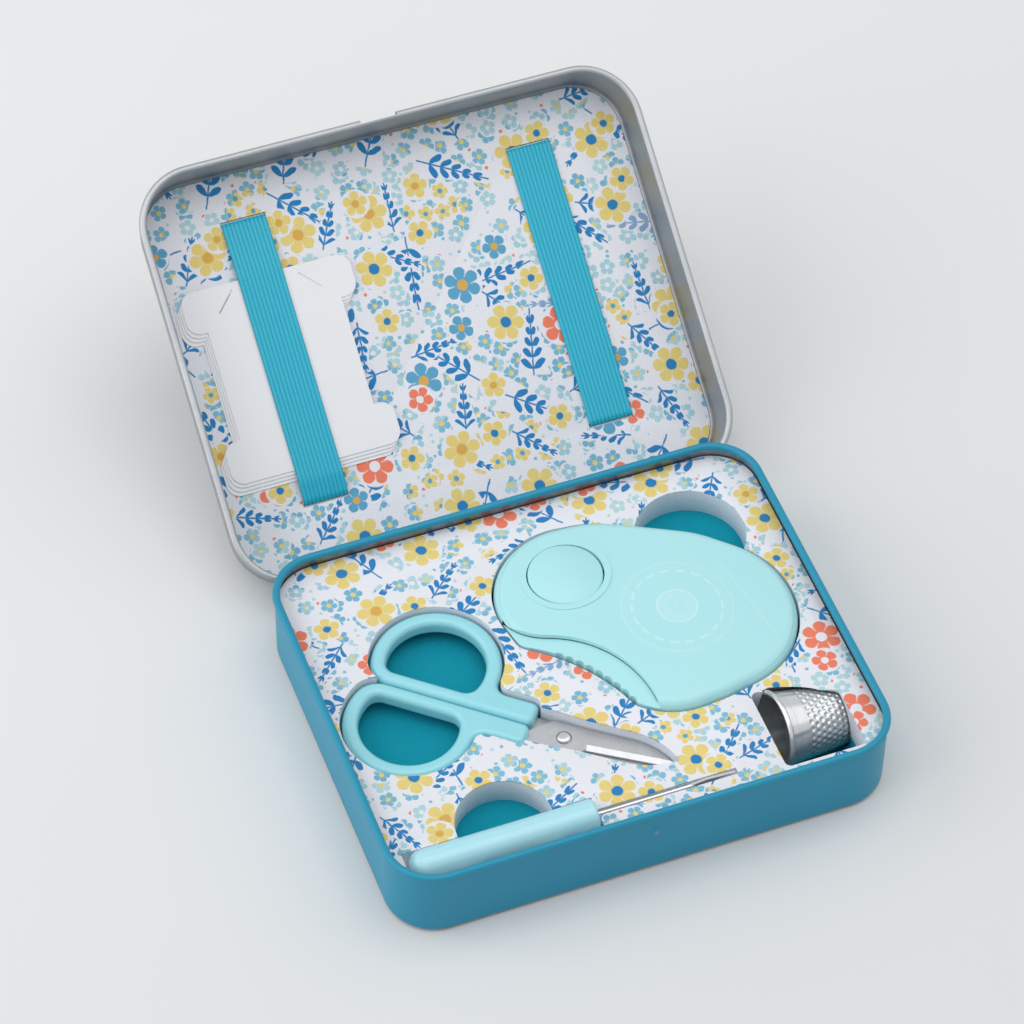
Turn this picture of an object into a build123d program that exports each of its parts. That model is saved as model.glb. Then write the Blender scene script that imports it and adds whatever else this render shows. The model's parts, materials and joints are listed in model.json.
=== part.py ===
"""Hinged sewing tin with a die-cut foam nest, scissors, rotary cutter, seam ripper and thimble.

Millimetres, +Z up, +Y to the hinge. The origin is the centre of the tin's underside. The lid is
drawn shut and swung open about its hinge wire, which is how the part rests.
"""

import os
from math import asin, cos, degrees, radians, sin, sqrt

from build123d import *

# ---------------------------------------------------------------- tin
tin_width = 120.0
tin_depth = 96.5
tin_height = 20.9
sheet = 0.3
bead_radius = 0.9
bead_stand_out = 0.5
tin_corner_radius = 12.0
tin_foot_radius = 1.6
catch_height = 14.1
catch_radius = 1.7
catch_proud = 0.6

# ---------------------------------------------------------------- lid and hinge
skirt_gap = 0.8
lid_head_gap = 0.1
lid_edge_radius = 2.2
lid_open_angle = 146.8
hinge_height = 9.3
wire_radius = 0.5
wire_length = 92.0
running_clearance = 0.08
tab_width = 14.0
tab_spacing = 54.0
tab_side_gap = 0.3
tab_leaf_foot = 3.0
notch_width = 9.0
notch_depth = 0.9

# ---------------------------------------------------------------- lid lining, elastic and cards
liner_thickness = 0.5
liner_glue_gap = 0.15
liner_inset = 0.8
liner_edge_chamfer = 0.4
elastic_width = 10.8
elastic_thickness = 0.7
elastic_left_x = -35.9
elastic_right_x = 36.2
elastic_front_y = -37.3
elastic_rear_y = 32.8
elastic_tail = 0.5
slit_gap = 0.2
card_count = 4
card_thickness = 0.3
card_width = 42.0
card_waist = 33.2
card_height = 47.0
card_lobe_height = 10.2
card_lobe_radius = 3.2
card_x = -35.2
card_y = 0.4
card_slit_width = 0.4
card_slit_length = 6.4
card_slit_angle = 46.0
card_slit_x = 10.5
card_slit_y = 4.2
card_step_x = -0.55
card_step_y = 0.8

# ---------------------------------------------------------------- foam nest
nest_gap = 0.3
base_foam_top = 9.6
nest_top = 16.8
fabric_thickness = 0.3
recess_gap = 0.5
handle_recess_gap = 0.6
front_notch_x = -31.1
front_notch_y = -35.7
front_notch_radius = 11.1
rear_notch_x = 38.0
rear_notch_y = 26.1
rear_notch_radius = 13.1

# ---------------------------------------------------------------- scissors
scissors_x = -9.9
scissors_y = -17.0
scissors_angle = -37.4
handle_turn = -2.6
handle_float = 2.1
handle_thickness = 4.4
handle_edge_radius = 1.5
handle_parting = 0.3
loop_x = -33.7
loop_y = 8.9
loop_radius = 15.0
loop_hole_radius = 11.4
loop_bar = 3.4
loop_corner = 6.0
shank_end_x = -7.7
shank_side = 6.1
shank_corner = 1.7
neck_round = 3.0
blade_thickness = 1.1
blade_gap = 0.1
blade_rise = 1.35
blade_reach = 26.2
blade_back = 3.9
blade_heel = 5.5
cutting_edge = 1.6
tip_offset = 0.2
bevel_width = 1.3
bevel_depth = 0.5
rivet_radius = 1.0
rivet_head_radius = 1.85
rivet_head_height = 0.7

# ---------------------------------------------------------------- rotary cutter
cutter_x = 20.0
cutter_y = 8.0
cutter_bottom = 7.0
cutter_parting = 13.4
cutter_top = 20.2
crown_radius = 260.0
grip_wall = 1.6
roof_wall = 1.1
grip_edge_radius = 2.6
grip_corner = 3.5
finger_hollow_radius = 46.2
trigger_tuck = 2.2
trigger_tuck_top = 14.2
trigger_gap = 0.3
trigger_zone_radius = 28.6
shoulder_radius = 13.9
shoulder_angle = 66.4
trigger_reach = 40.0
trigger_tip_angle = 134.5
trigger_tip_room = 3.4
ridge_count = 9
ridge_radius = 1.4
ridge_depth = 0.5
ridge_from = 20.0
ridge_sweep = 29.0
pivot_x = -4.0
pivot_y = -20.0
pivot_pin_radius = 1.4
pivot_boss_radius = 2.8
lever_thickness = 2.0
lever_lift = 1.8
disc_x = 13.0
disc_y = -12.9
disc_radius = 14.0
disc_thickness = 0.3
disc_hole_radius = 3.0
disc_slot_height = 1.2
disc_slot_gap = 0.8
trigger_swing = 12.0
pivot_hub_radius = 3.4
blade_hub_radius = 4.4
blade_screw_radius = 1.2
blade_screw_head = 1.3
button_x = -14.3
button_y = 14.9
button_radius = 8.7
button_gap = 0.3
button_top = 20.85
button_dome_radius = 26.0
button_edge_radius = 0.4
button_bottom = 15.5
button_travel = 1.0
button_lug_reach = 10.0
button_lug_width = 4.0
button_lug_height = 1.0
button_lug_angle = 15.0
stem_radius = 1.4
stem_bottom = 11.7
post_radius = 2.2
post_top = 13.2
button_collar_width = 1.5
button_collar_height = 0.25
spring_wire = 0.5
button_spring_radius = 3.2
return_spring_radius = 3.7
button_spring_turns = 3
return_spring_turns = 2
screw_radius = 1.0
screw_head_radius = 1.8
screw_head_height = 1.0
screw_boss_radius = 2.5
screw_top = 16.2

# ---------------------------------------------------------------- seam ripper
ripper_left_x = -55.0
ripper_handle_length = 43.6
ripper_handle_radius = 3.8
ripper_from_wall = 7.05
ripper_z = 16.1
ripper_gap = 0.5
ripper_end_round = 3.4
ripper_neck_round = 0.8
shaft_gap = 0.25
shaft_radius = 0.6
shaft_length = 33.2
shaft_seat = 6.0
fork_length = 10.5
fork_width = 2.2
fork_thickness = 0.6

# ---------------------------------------------------------------- thimble
pocket_left_x = 33.0
pocket_right_x = 52.4
pocket_front_y = -43.4
pocket_rear_y = -21.2
pocket_taper = 6.2
pocket_corner = 1.5
thimble_gap = 0.3
thimble_x = 36.3
thimble_y = -28.9
thimble_turn = 3.0
thimble_floor = 1.0
thimble_rim_radius = 9.5
thimble_tip_radius = 6.9
thimble_length = 18.0
thimble_wall = 0.5
thimble_rim_bead = 0.5
thimble_dome = 1.6

# ---------------------------------------------------------------- worked out from the above
wall_half_x = tin_width / 2 - bead_stand_out
wall_half_y = tin_depth / 2 - bead_stand_out
wall_corner = tin_corner_radius - bead_stand_out
bead_level = tin_height - bead_radius
skirt_half_x = tin_width / 2 + skirt_gap
skirt_half_y = tin_depth / 2 + skirt_gap
skirt_corner = tin_corner_radius + skirt_gap
hinge_y = skirt_half_y + bead_radius
liner_face = tin_height + lid_head_gap
liner_top = liner_face + liner_thickness
lid_inner_top = liner_top + liner_glue_gap
lid_outer_top = lid_inner_top + sheet
nest_half_x = wall_half_x - sheet - nest_gap
nest_half_y = wall_half_y - sheet - nest_gap
nest_corner = wall_corner - sheet - nest_gap
foam_top_level = nest_top - fabric_thickness
handle_bottom = base_foam_top + handle_float
blade_mid = handle_bottom + blade_rise
lower_blade_bottom = blade_mid - blade_gap / 2 - blade_thickness
upper_blade_bottom = blade_mid + blade_gap / 2
lever_bottom = cutter_bottom + grip_wall + lever_lift
lever_top = lever_bottom + lever_thickness
grip_floor = cutter_bottom + grip_wall
trigger_bottom = grip_floor + trigger_gap
disc_bottom = cutter_parting - disc_thickness / 2
ripper_y = sheet + ripper_from_wall - wall_half_y
thimble_z = thimble_floor + thimble_rim_radius
thimble_tilt = degrees(asin((thimble_rim_radius - thimble_tip_radius) / thimble_length))

os.makedirs("parts", exist_ok=True)


def finish(builder, name):
    """Label a finished piece and write it to its own file."""
    builder.part.label = name
    export_step(builder.part, f"parts/{name}.step")


def lid_level(height):
    """Plane of the open lid at a height that is measured on the shut tin."""
    hinge = Location((0, hinge_y, hinge_height))
    swing = hinge * Location((0, 0, 0), (-lid_open_angle, 0, 0)) * hinge.inverse()
    return Plane(swing * Location((0, 0, height)))


def lid_section(x):
    """Plane across the open lid at one x, with local x to the rear and local y up when shut."""
    frame = lid_level(0)
    return Plane(origin=frame.from_local_coords((x, 0, 0)), x_dir=frame.y_dir, z_dir=frame.x_dir)


def curl_section(origin, outward, along, gap_from, gap_to):
    """Section of a sheet edge's hollow curl, open between two angles from its outward side."""
    reach = 3 * bead_radius
    with BuildSketch(Plane(origin, outward, along)) as section:
        Circle(bead_radius)
        RegularPolygon(bead_radius - sheet, 8, mode=Mode.SUBTRACT)
        with BuildLine():
            Polyline((0, 0), (reach * cos(radians(gap_from)), reach * sin(radians(gap_from))),
                     (reach * cos(radians(gap_to)), reach * sin(radians(gap_to))), close=True)
        make_face(mode=Mode.SUBTRACT)
    return section.sketch


def build_curl(frame, half_x, half_y, corner, gap_from, gap_to):
    """Hollow curl of a sheet edge round a rounded rectangle.

    frame lies at the level of the curl's centre, and half_x and half_y reach to that centre.
    """
    flat_x = half_x - corner
    flat_y = half_y - corner
    side = frame.from_local_coords((half_x, 0, 0))
    turn = frame.from_local_coords((half_x, flat_y, 0))
    turn_centre = frame.from_local_coords((flat_x, flat_y, 0))
    rear = frame.from_local_coords((0, half_y, 0))
    with BuildPart() as curl:
        extrude(curl_section(side, frame.x_dir, -frame.y_dir, gap_from, gap_to), amount=-flat_y)
        revolve(curl_section(turn, frame.x_dir, -frame.y_dir, gap_from, gap_to),
                axis=Axis(turn_centre, frame.z_dir), revolution_arc=90)
        extrude(curl_section(rear, frame.y_dir, frame.x_dir, gap_from, gap_to), amount=flat_x)
        mirror(about=Plane(frame.origin, frame.y_dir, frame.x_dir))
        mirror(about=Plane(frame.origin, frame.x_dir, frame.y_dir))
    return curl


# ================================================================ tin base
base_curl = build_curl(Plane.XY.offset(bead_level), tin_width / 2 - bead_radius,
                       tin_depth / 2 - bead_radius, tin_corner_radius - bead_radius, 222, 276)
# Catch pip, a shallow dome that the lid's skirt snaps over.
pip_sphere = (catch_radius**2 + catch_proud**2) / (2 * catch_proud)
with BuildPart() as catch_pip:
    with Locations((0, -wall_half_y - catch_proud + pip_sphere, catch_height)):
        Sphere(pip_sphere)
    with Locations((0, -wall_half_y + sheet / 2, catch_height)):
        Box(3 * pip_sphere, 3 * pip_sphere, 3 * pip_sphere, align=(Align.CENTER, Align.MIN, Align.CENTER),
            mode=Mode.SUBTRACT)

with BuildPart() as base_tin:
    with BuildSketch():
        RectangleRounded(2 * wall_half_x, 2 * wall_half_y, wall_corner)
    extrude(amount=bead_level - bead_radius + sheet)
    fillet(base_tin.edges().group_by(Axis.Z)[0], radius=tin_foot_radius)
    offset(amount=-sheet, openings=base_tin.faces().sort_by(Axis.Z)[-1])
    add(base_curl.part)
    add(catch_pip.part)
finish(base_tin, "base_tin")

# Two spring-steel tabs on the rear wall, each curled round the hinge wire.
tab_knuckle = wire_radius + running_clearance + sheet
leaf_y = wall_half_y + sheet / 2
curl_mid = tab_knuckle - sheet / 2
tab_bend = curl_mid
with BuildPart() as hinge_tabs:
    for side in (-1, 1):
        with BuildSketch(Plane.YZ.offset(side * tab_spacing / 2 - tab_width / 2)):
            with BuildLine():
                bend_z = hinge_height - curl_mid
                Line((leaf_y, tab_leaf_foot), (leaf_y, bend_z - tab_bend))
                CenterArc((leaf_y + tab_bend, bend_z - tab_bend), tab_bend, 180, -90)
                Line((leaf_y + tab_bend, bend_z), (hinge_y, bend_z))
                CenterArc((hinge_y, hinge_height), curl_mid, -90, 285)
                offset(amount=sheet / 2, side=Side.BOTH)
            make_face()
        extrude(amount=tab_width)
finish(hinge_tabs, "hinge_tabs")

# ================================================================ lid
lid_frame = lid_level(0)
lid_up = Axis(lid_frame.origin, lid_frame.z_dir)
lid_curl = build_curl(lid_level(hinge_height), skirt_half_x + bead_radius,
                      skirt_half_y + bead_radius, skirt_corner + bead_radius, 100, 150)
skirt_edge = hinge_height + sheet
with BuildPart() as lid_tin:
    with BuildSketch(lid_level(skirt_edge)):
        RectangleRounded(2 * (skirt_half_x + sheet), 2 * (skirt_half_y + sheet), skirt_corner + sheet)
    extrude(amount=lid_outer_top - skirt_edge)
    fillet(lid_tin.faces().sort_by(lid_up)[-1].edges(), radius=lid_edge_radius)
    offset(amount=-sheet, openings=lid_tin.faces().sort_by(lid_up)[0])
    add(lid_curl.part)
    # windows in the rear curl for the two tabs
    with BuildSketch(lid_level(hinge_height - 2 * bead_radius)):
        with Locations((0, hinge_y)):
            with GridLocations(tab_spacing, 1, 2, 1):
                Rectangle(tab_width + 2 * tab_side_gap, 4 * bead_radius)
    extrude(amount=3.4 * bead_radius, mode=Mode.SUBTRACT)
    # flattened thumb notch in the front curl
    with BuildSketch(lid_level(hinge_height - 2 * bead_radius)):
        with Locations((0, -(skirt_half_y + 2 * bead_radius - notch_depth) - bead_radius)):
            Rectangle(notch_width, 2 * bead_radius)
    extrude(amount=4 * bead_radius, mode=Mode.SUBTRACT)
finish(lid_tin, "lid_tin")

with BuildPart() as hinge_wire:
    with BuildSketch(lid_section(-wire_length / 2)):
        with Locations((hinge_y, hinge_height)):
            Circle(wire_radius)
    extrude(amount=wire_length)
finish(hinge_wire, "hinge_wire")

# ================================================================ lid lining and what it holds
liner_half_x = skirt_half_x - liner_inset
liner_half_y = skirt_half_y - liner_inset
elastic_mid_y = (elastic_front_y + elastic_rear_y) / 2
elastic_length = elastic_rear_y - elastic_front_y
with BuildPart() as lid_liner:
    with BuildSketch(lid_level(liner_face)):
        RectangleRounded(2 * liner_half_x, 2 * liner_half_y, skirt_corner - liner_inset)
    extrude(amount=liner_thickness)
    chamfer(lid_liner.faces().sort_by(lid_up)[-1].edges(), length=liner_edge_chamfer)
    with BuildSketch(lid_level(liner_face)):
        for band_x in (elastic_left_x, elastic_right_x):
            with Locations((band_x, elastic_mid_y)):
                with GridLocations(1, elastic_length - elastic_thickness, 1, 2):
                    Rectangle(elastic_width + 2 * slit_gap, elastic_thickness + 2 * slit_gap)
    extrude(amount=liner_thickness, mode=Mode.SUBTRACT)
finish(lid_liner, "lid_liner")


def build_elastic(band_x, stack_height, stack_front, stack_rear):
    """Elastic band tucked through two slits, raised over what it holds against the liner."""
    mid = elastic_thickness / 2
    rear = elastic_rear_y - mid
    front = elastic_front_y + mid
    rest = liner_face - mid
    tail_end = liner_top - mid
    low = rest - stack_height
    with BuildPart() as band:
        with BuildSketch(lid_section(band_x - elastic_width / 2)):
            with BuildLine():
                if stack_height > 0:
                    Polyline((rear, tail_end), (rear, rest), (stack_rear + elastic_thickness, low),
                             (stack_front - elastic_thickness, low), (front, rest), (front, tail_end))
                else:
                    Polyline((rear, tail_end), (rear, rest), (front, rest), (front, tail_end))
                offset(amount=mid, side=Side.BOTH, kind=Kind.INTERSECTION)
            make_face()
        extrude(amount=elastic_width)
    return band


elastic_left = build_elastic(elastic_left_x, card_count * card_thickness, card_y - card_height / 2,
                             card_y + card_height / 2 + (card_count - 1) * card_step_y)
finish(elastic_left, "elastic_left")
elastic_right = build_elastic(elastic_right_x, 0, 0, 0)
finish(elastic_right, "elastic_right")

# Thread cards: bone-shaped, with two slits for the thread's end, stacked with each one slipped.
for index in range(card_count):
    card_centre = (card_x + index * card_step_x, card_y + index * card_step_y)
    with BuildPart() as thread_card:
        with BuildSketch(lid_level(liner_face - (card_count - index) * card_thickness)) as outline:
            with Locations(card_centre):
                Rectangle(card_waist, card_height)
                with GridLocations(1, card_height - card_lobe_height, 1, 2):
                    Rectangle(card_width, card_lobe_height)
            fillet(outline.vertices().group_by(Axis.X)[0] + outline.vertices().group_by(Axis.X)[-1],
                   radius=card_lobe_radius)
            with Locations(card_centre):
                for turn in (-1, 1):
                    with Locations((-turn * card_slit_x, -card_height / 2 + card_slit_y)):
                        Rectangle(card_slit_length, card_slit_width, rotation=-turn * card_slit_angle,
                                  mode=Mode.SUBTRACT)
        extrude(amount=card_thickness)
    finish(thread_card, f"thread_card_{index + 1}")

# ================================================================ outlines of the tools
rivet = Plane((scissors_x, scissors_y, 0), (cos(radians(scissors_angle)), sin(radians(scissors_angle)), 0))
grips_angle = radians(scissors_angle + handle_turn)
grips = Plane((scissors_x, scissors_y, 0), (cos(grips_angle), sin(grips_angle), 0))
beyond_parting = {-1: (Align.CENTER, Align.MIN), 1: (Align.CENTER, Align.MAX)}


def handle_outline(side, grow=0.0):
    """Outline of one scissors handle: a D-shaped loop with a straight shank, grown all round."""
    inner = handle_parting / 2 - grow
    outer = shank_side + grow
    end = shank_end_x + grow
    with BuildSketch() as outline:
        with Locations((loop_x, side * loop_y)):
            Circle(loop_radius + grow)
        with Locations((loop_x, side * (inner + outer) / 2)):
            Rectangle(end - loop_x, outer - inner, align=(Align.MIN, Align.CENTER))
        with Locations((loop_x, side * inner)):
            Rectangle(3 * loop_radius, 3 * loop_radius, align=beyond_parting[side], mode=Mode.SUBTRACT)
        fillet(outline.vertices().sort_by_distance((end, side * outer))[0], radius=shank_corner + grow)
        fillet(outline.vertices().sort_by_distance((end, side * inner))[0], radius=shank_corner + grow)
        neck_x = loop_x + sqrt((loop_radius + grow)**2 - (outer - loop_y)**2)
        fillet(outline.vertices().sort_by_distance((neck_x, side * outer))[0], radius=neck_round - grow)
        fillet(outline.vertices().sort_by(Axis.X)[0], radius=loop_corner + grow)
    return outline.sketch


def loop_hole(side):
    """D-shaped finger hole of one scissors handle."""
    flat = loop_bar + handle_parting / 2
    with BuildSketch() as outline:
        with Locations((loop_x, side * loop_y)):
            Circle(loop_hole_radius)
        with Locations((loop_x, side * flat)):
            Rectangle(3 * loop_radius, 3 * loop_radius, align=beyond_parting[side], mode=Mode.SUBTRACT)
        fillet(outline.vertices(), radius=neck_round)
    return outline.sketch


def blade_outline(side, grow=0.0):
    """Outline of one blade with its tang, its back on the given side, grown all round."""
    with BuildSketch() as outline:
        with BuildLine():
            Polyline((blade_reach, side * -tip_offset), (blade_heel, side * -cutting_edge),
                     (3.6, side * -3.9), (-3.0, side * -4.4), (-15.0, side * -4.6), (-15.0, side * -1.9),
                     (-8.4, side * -0.6), (-3.6, side * blade_back), (14.0, side * blade_back))
            ThreePointArc((14.0, side * blade_back), (21.4, side * (blade_back - 1.2)),
                          (blade_reach, side * -tip_offset))
        make_face()
        if grow > 0:
            offset(amount=grow)
    return outline.sketch


grip_circles = ((-12.9, 10.6, 19.3), (-9.3, 7.3, 22.2), (4.7, -3.4, 25.2), (11.3, -5.2, 22.1),
                (0.7, -11.9, 17.1))
finger_hollow = (-55.6, -38.3)
trigger_centre = (-35.9, -25.9)
shoulder_away = trigger_zone_radius + shoulder_radius
shoulder_centre = (trigger_centre[0] + shoulder_away * cos(radians(shoulder_angle)),
                   trigger_centre[1] + shoulder_away * sin(radians(shoulder_angle)))


def grip_outline(grow=0.0):
    """Egg-shaped outline of the cutter's grip, hollowed for the fingers, grown all round."""
    with BuildSketch() as outline:
        for centre_x, centre_y, radius in grip_circles:
            with Locations((centre_x, centre_y)):
                Circle(radius + grow)
        make_hull()
        with Locations(finger_hollow):
            Circle(finger_hollow_radius - grow, mode=Mode.SUBTRACT)
        fillet(outline.vertices().sort_by_distance(finger_hollow)[:2], radius=grip_corner + grow)
    return outline.sketch


def trigger_zone(grow=0.0):
    """Region in which the trigger lies, bounded by a double curve, grown all round."""
    with BuildSketch() as outline:
        with BuildLine():
            Polyline(trigger_centre, shoulder_centre,
                     (shoulder_centre[0] - 2 * shoulder_radius, shoulder_centre[1]), close=True)
        make_face()
        with Locations(shoulder_centre):
            Circle(shoulder_radius - grow, mode=Mode.SUBTRACT)
        with Locations(trigger_centre):
            Circle(trigger_zone_radius + grow)
    return outline.sketch


def roof_outline(grow=0.0):
    """Outline of the grip's roof, which stops short of the trigger along a double curve."""
    with BuildSketch() as outline:
        for centre_x, centre_y, radius in grip_circles:
            with Locations((centre_x, centre_y)):
                Circle(radius + grow)
        make_hull()
        add(trigger_zone(-grow), mode=Mode.SUBTRACT)
    return outline.sketch


cutter_seat = Plane((cutter_x, cutter_y, 0))
thimble_place = Location((thimble_x, thimble_y, thimble_z), (0, thimble_tilt, thimble_turn), Extrinsic.XYZ)
thimble_plane = Plane(thimble_place * Location((0, 0, 0), (90, 0, 0)))
shaft_start_x = ripper_left_x + ripper_handle_length
ripper_tip_x = shaft_start_x + shaft_length

# ================================================================ foam nest
cut_height = nest_top - base_foam_top + 1
with BuildPart() as tool_recesses:
    for side in (-1, 1):
        with BuildSketch(grips.offset(base_foam_top)):
            add(handle_outline(side, handle_recess_gap))
        extrude(amount=cut_height)
        # the blades lie on a ledge of the foam
        with BuildSketch(rivet.offset(lower_blade_bottom)):
            add(blade_outline(side, recess_gap))
        extrude(amount=cut_height)
    with BuildSketch(rivet.offset(lower_blade_bottom - rivet_head_height - recess_gap)):
        Circle(rivet_head_radius + recess_gap)
    extrude(amount=cut_height)
    with BuildSketch(cutter_seat.offset(base_foam_top)):
        add(grip_outline(recess_gap))
    extrude(amount=cut_height)
    with BuildSketch(Plane.XY.offset(base_foam_top)):
        with Locations((front_notch_x, front_notch_y)):
            Circle(front_notch_radius)
        with Locations((rear_notch_x, rear_notch_y)):
            Circle(rear_notch_radius)
    extrude(amount=cut_height)

# The thimble's pocket runs on down into the lower foam, which bulges over the cup's sides.
with BuildPart() as thimble_pocket:
    with BuildSketch(Plane.XY.offset(thimble_floor)) as pocket_mouth:
        with BuildLine():
            Polyline((pocket_left_x, pocket_rear_y), (pocket_left_x, pocket_front_y),
                     (pocket_right_x, pocket_front_y),
                     (pocket_right_x, pocket_rear_y - pocket_taper), close=True)
        make_face()
        fillet(pocket_mouth.vertices(), radius=pocket_corner)
    extrude(amount=nest_top - thimble_floor + 1)
    with BuildSketch(thimble_plane):
        with BuildLine():
            Polyline((-thimble_rim_bead - thimble_gap, 0),
                     (-thimble_rim_bead - thimble_gap, thimble_rim_radius),
                     (thimble_rim_bead + thimble_gap, thimble_rim_radius + thimble_gap),
                     (thimble_length + thimble_gap, thimble_tip_radius + thimble_gap),
                     (thimble_length + thimble_gap, 0), close=True)
        make_face()
    revolve(axis=Axis(thimble_plane.origin, thimble_plane.x_dir))
    split(bisect_by=Plane.XY.offset(thimble_floor), keep=Keep.TOP)

# Blind groove for the ripper's handle, with a narrow slot for its shaft.
groove_radius = ripper_handle_radius + ripper_gap
with BuildPart() as ripper_groove:
    with BuildSketch(Plane.YZ.offset(ripper_left_x - ripper_gap)):
        with Locations((ripper_y, ripper_z + ripper_gap)):
            Circle(groove_radius)
            Rectangle(2 * groove_radius, nest_top, align=(Align.CENTER, Align.MIN))
    extrude(amount=ripper_handle_length + 2 * ripper_gap)
    with BuildSketch(Plane.YZ.offset(shaft_start_x)):
        with Locations((ripper_y, ripper_z - fork_width / 2 - shaft_gap)):
            Rectangle(2 * (shaft_radius + shaft_gap), nest_top, align=(Align.CENTER, Align.MIN))
    extrude(amount=shaft_length + ripper_gap)

with BuildPart() as foam_base:
    with BuildSketch(Plane.XY.offset(sheet)):
        RectangleRounded(2 * nest_half_x, 2 * nest_half_y, nest_corner)
    extrude(amount=base_foam_top - sheet)
    chamfer(foam_base.edges().group_by(Axis.Z)[0], length=tin_foot_radius)
    with BuildSketch(cutter_seat.offset(cutter_bottom)):
        add(grip_outline(recess_gap))
    extrude(amount=base_foam_top, mode=Mode.SUBTRACT)
    add(thimble_pocket.part, mode=Mode.SUBTRACT)
finish(foam_base, "foam_base")

with BuildPart() as foam_top:
    with BuildSketch(Plane.XY.offset(base_foam_top)):
        RectangleRounded(2 * nest_half_x, 2 * nest_half_y, nest_corner)
    extrude(amount=foam_top_level - base_foam_top)
    add(tool_recesses.part, mode=Mode.SUBTRACT)
    add(thimble_pocket.part, mode=Mode.SUBTRACT)
    add(ripper_groove.part, mode=Mode.SUBTRACT)
finish(foam_top, "foam_top")

with BuildPart() as nest_fabric:
    with BuildSketch(Plane.XY.offset(foam_top_level)):
        RectangleRounded(2 * nest_half_x, 2 * nest_half_y, nest_corner)
    extrude(amount=fabric_thickness)
    add(tool_recesses.part, mode=Mode.SUBTRACT)
    add(thimble_pocket.part, mode=Mode.SUBTRACT)
    add(ripper_groove.part, mode=Mode.SUBTRACT)
finish(nest_fabric, "nest_fabric")

# ================================================================ scissors
blade_levels = {-1: lower_blade_bottom, 1: upper_blade_bottom}
# The blade whose back faces the rear (+1) sits on top and joins the front handle.
for side, name in ((-1, "rear"), (1, "front")):
    with BuildPart() as blade:
        with BuildSketch(rivet.offset(blade_levels[side])):
            add(blade_outline(side))
            Circle(rivet_radius + (running_clearance if side < 0 else 0), mode=Mode.SUBTRACT)
        extrude(amount=blade_thickness)
        # bevel ground along the cutting edge, on the outer face
        heel = rivet.from_local_coords((blade_heel, side * -cutting_edge, 0))
        edge = (rivet.from_local_coords((blade_reach, side * -tip_offset, 0)) - heel).normalized()
        outer_z = blade_levels[side] + (blade_thickness if side > 0 else 0)
        with BuildSketch(Plane(heel, rivet.z_dir.cross(edge), edge)):
            with BuildLine():
                Polyline((side * bevel_width, outer_z), (side * -bevel_width, outer_z),
                         (side * -bevel_width, outer_z - side * 2 * bevel_depth), close=True)
            make_face()
        extrude(amount=blade_reach, mode=Mode.SUBTRACT)
    finish(blade, f"scissors_{name}_blade")

    with BuildPart() as handle:
        with BuildSketch(grips.offset(handle_bottom)):
            add(handle_outline(-side))
            add(loop_hole(-side), mode=Mode.SUBTRACT)
        extrude(amount=handle_thickness)
        fillet(handle.faces().filter_by(Axis.Z).edges(), radius=handle_edge_radius)
        with BuildSketch(rivet.offset(blade_levels[side])):
            add(blade_outline(side))
        extrude(amount=blade_thickness, mode=Mode.SUBTRACT)
    finish(handle, f"scissors_{name}_handle")

with BuildPart() as scissors_rivet:
    with BuildSketch(rivet.offset(lower_blade_bottom)):
        Circle(rivet_radius)
    extrude(amount=2 * blade_thickness + blade_gap)
    for face_z, direction in ((lower_blade_bottom, -1), (upper_blade_bottom + blade_thickness, 1)):
        with BuildSketch(rivet.offset(face_z)):
            Circle(rivet_head_radius)
        extrude(amount=direction * rivet_head_height, taper=35)
finish(scissors_rivet, "scissors_rivet")

# ================================================================ rotary cutter
pivot_at = (pivot_x, pivot_y)
disc_at = (disc_x, disc_y)
button_at = (button_x, button_y)
lever_root = (-13.0, -8.0)
screw_places = ((26.0, 5.0), (2.0, 21.5), (-26.5, 19.0))
button_hole_radius = button_radius + button_gap
disc_top = disc_bottom + disc_thickness
screw_head_top = cutter_bottom + screw_head_height
screw_seat = disc_top + running_clearance
screw_hole_radius = screw_head_radius + running_clearance
boss_hole_radius = pivot_boss_radius + trigger_gap
pin_hole_radius = pivot_pin_radius + running_clearance
spring_bay_radius = return_spring_radius + spring_wire + trigger_gap


def crowned(outline, bottom, drop):
    """Upright block of an outline whose top lies a drop below the grip's crown."""
    with BuildPart() as block:
        with BuildSketch(cutter_seat.offset(bottom)):
            add(outline)
        extrude(amount=cutter_top + 1 - bottom)
        with Locations((cutter_x, cutter_y, cutter_top - crown_radius)):
            Sphere(crown_radius - drop, mode=Mode.INTERSECT)
    return block.part


def circles(places, radius):
    """Equal circles at several places of the cutter."""
    with BuildSketch() as outline:
        with Locations(*places):
            Circle(radius)
    return outline.sketch


def upright(places, radius, bottom, top):
    """Upright cylinders between two levels at several places of the cutter."""
    with BuildPart() as block:
        with BuildSketch(cutter_seat.offset(bottom)):
            add(circles(places, radius))
        extrude(amount=top - bottom)
    return block.part


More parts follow.
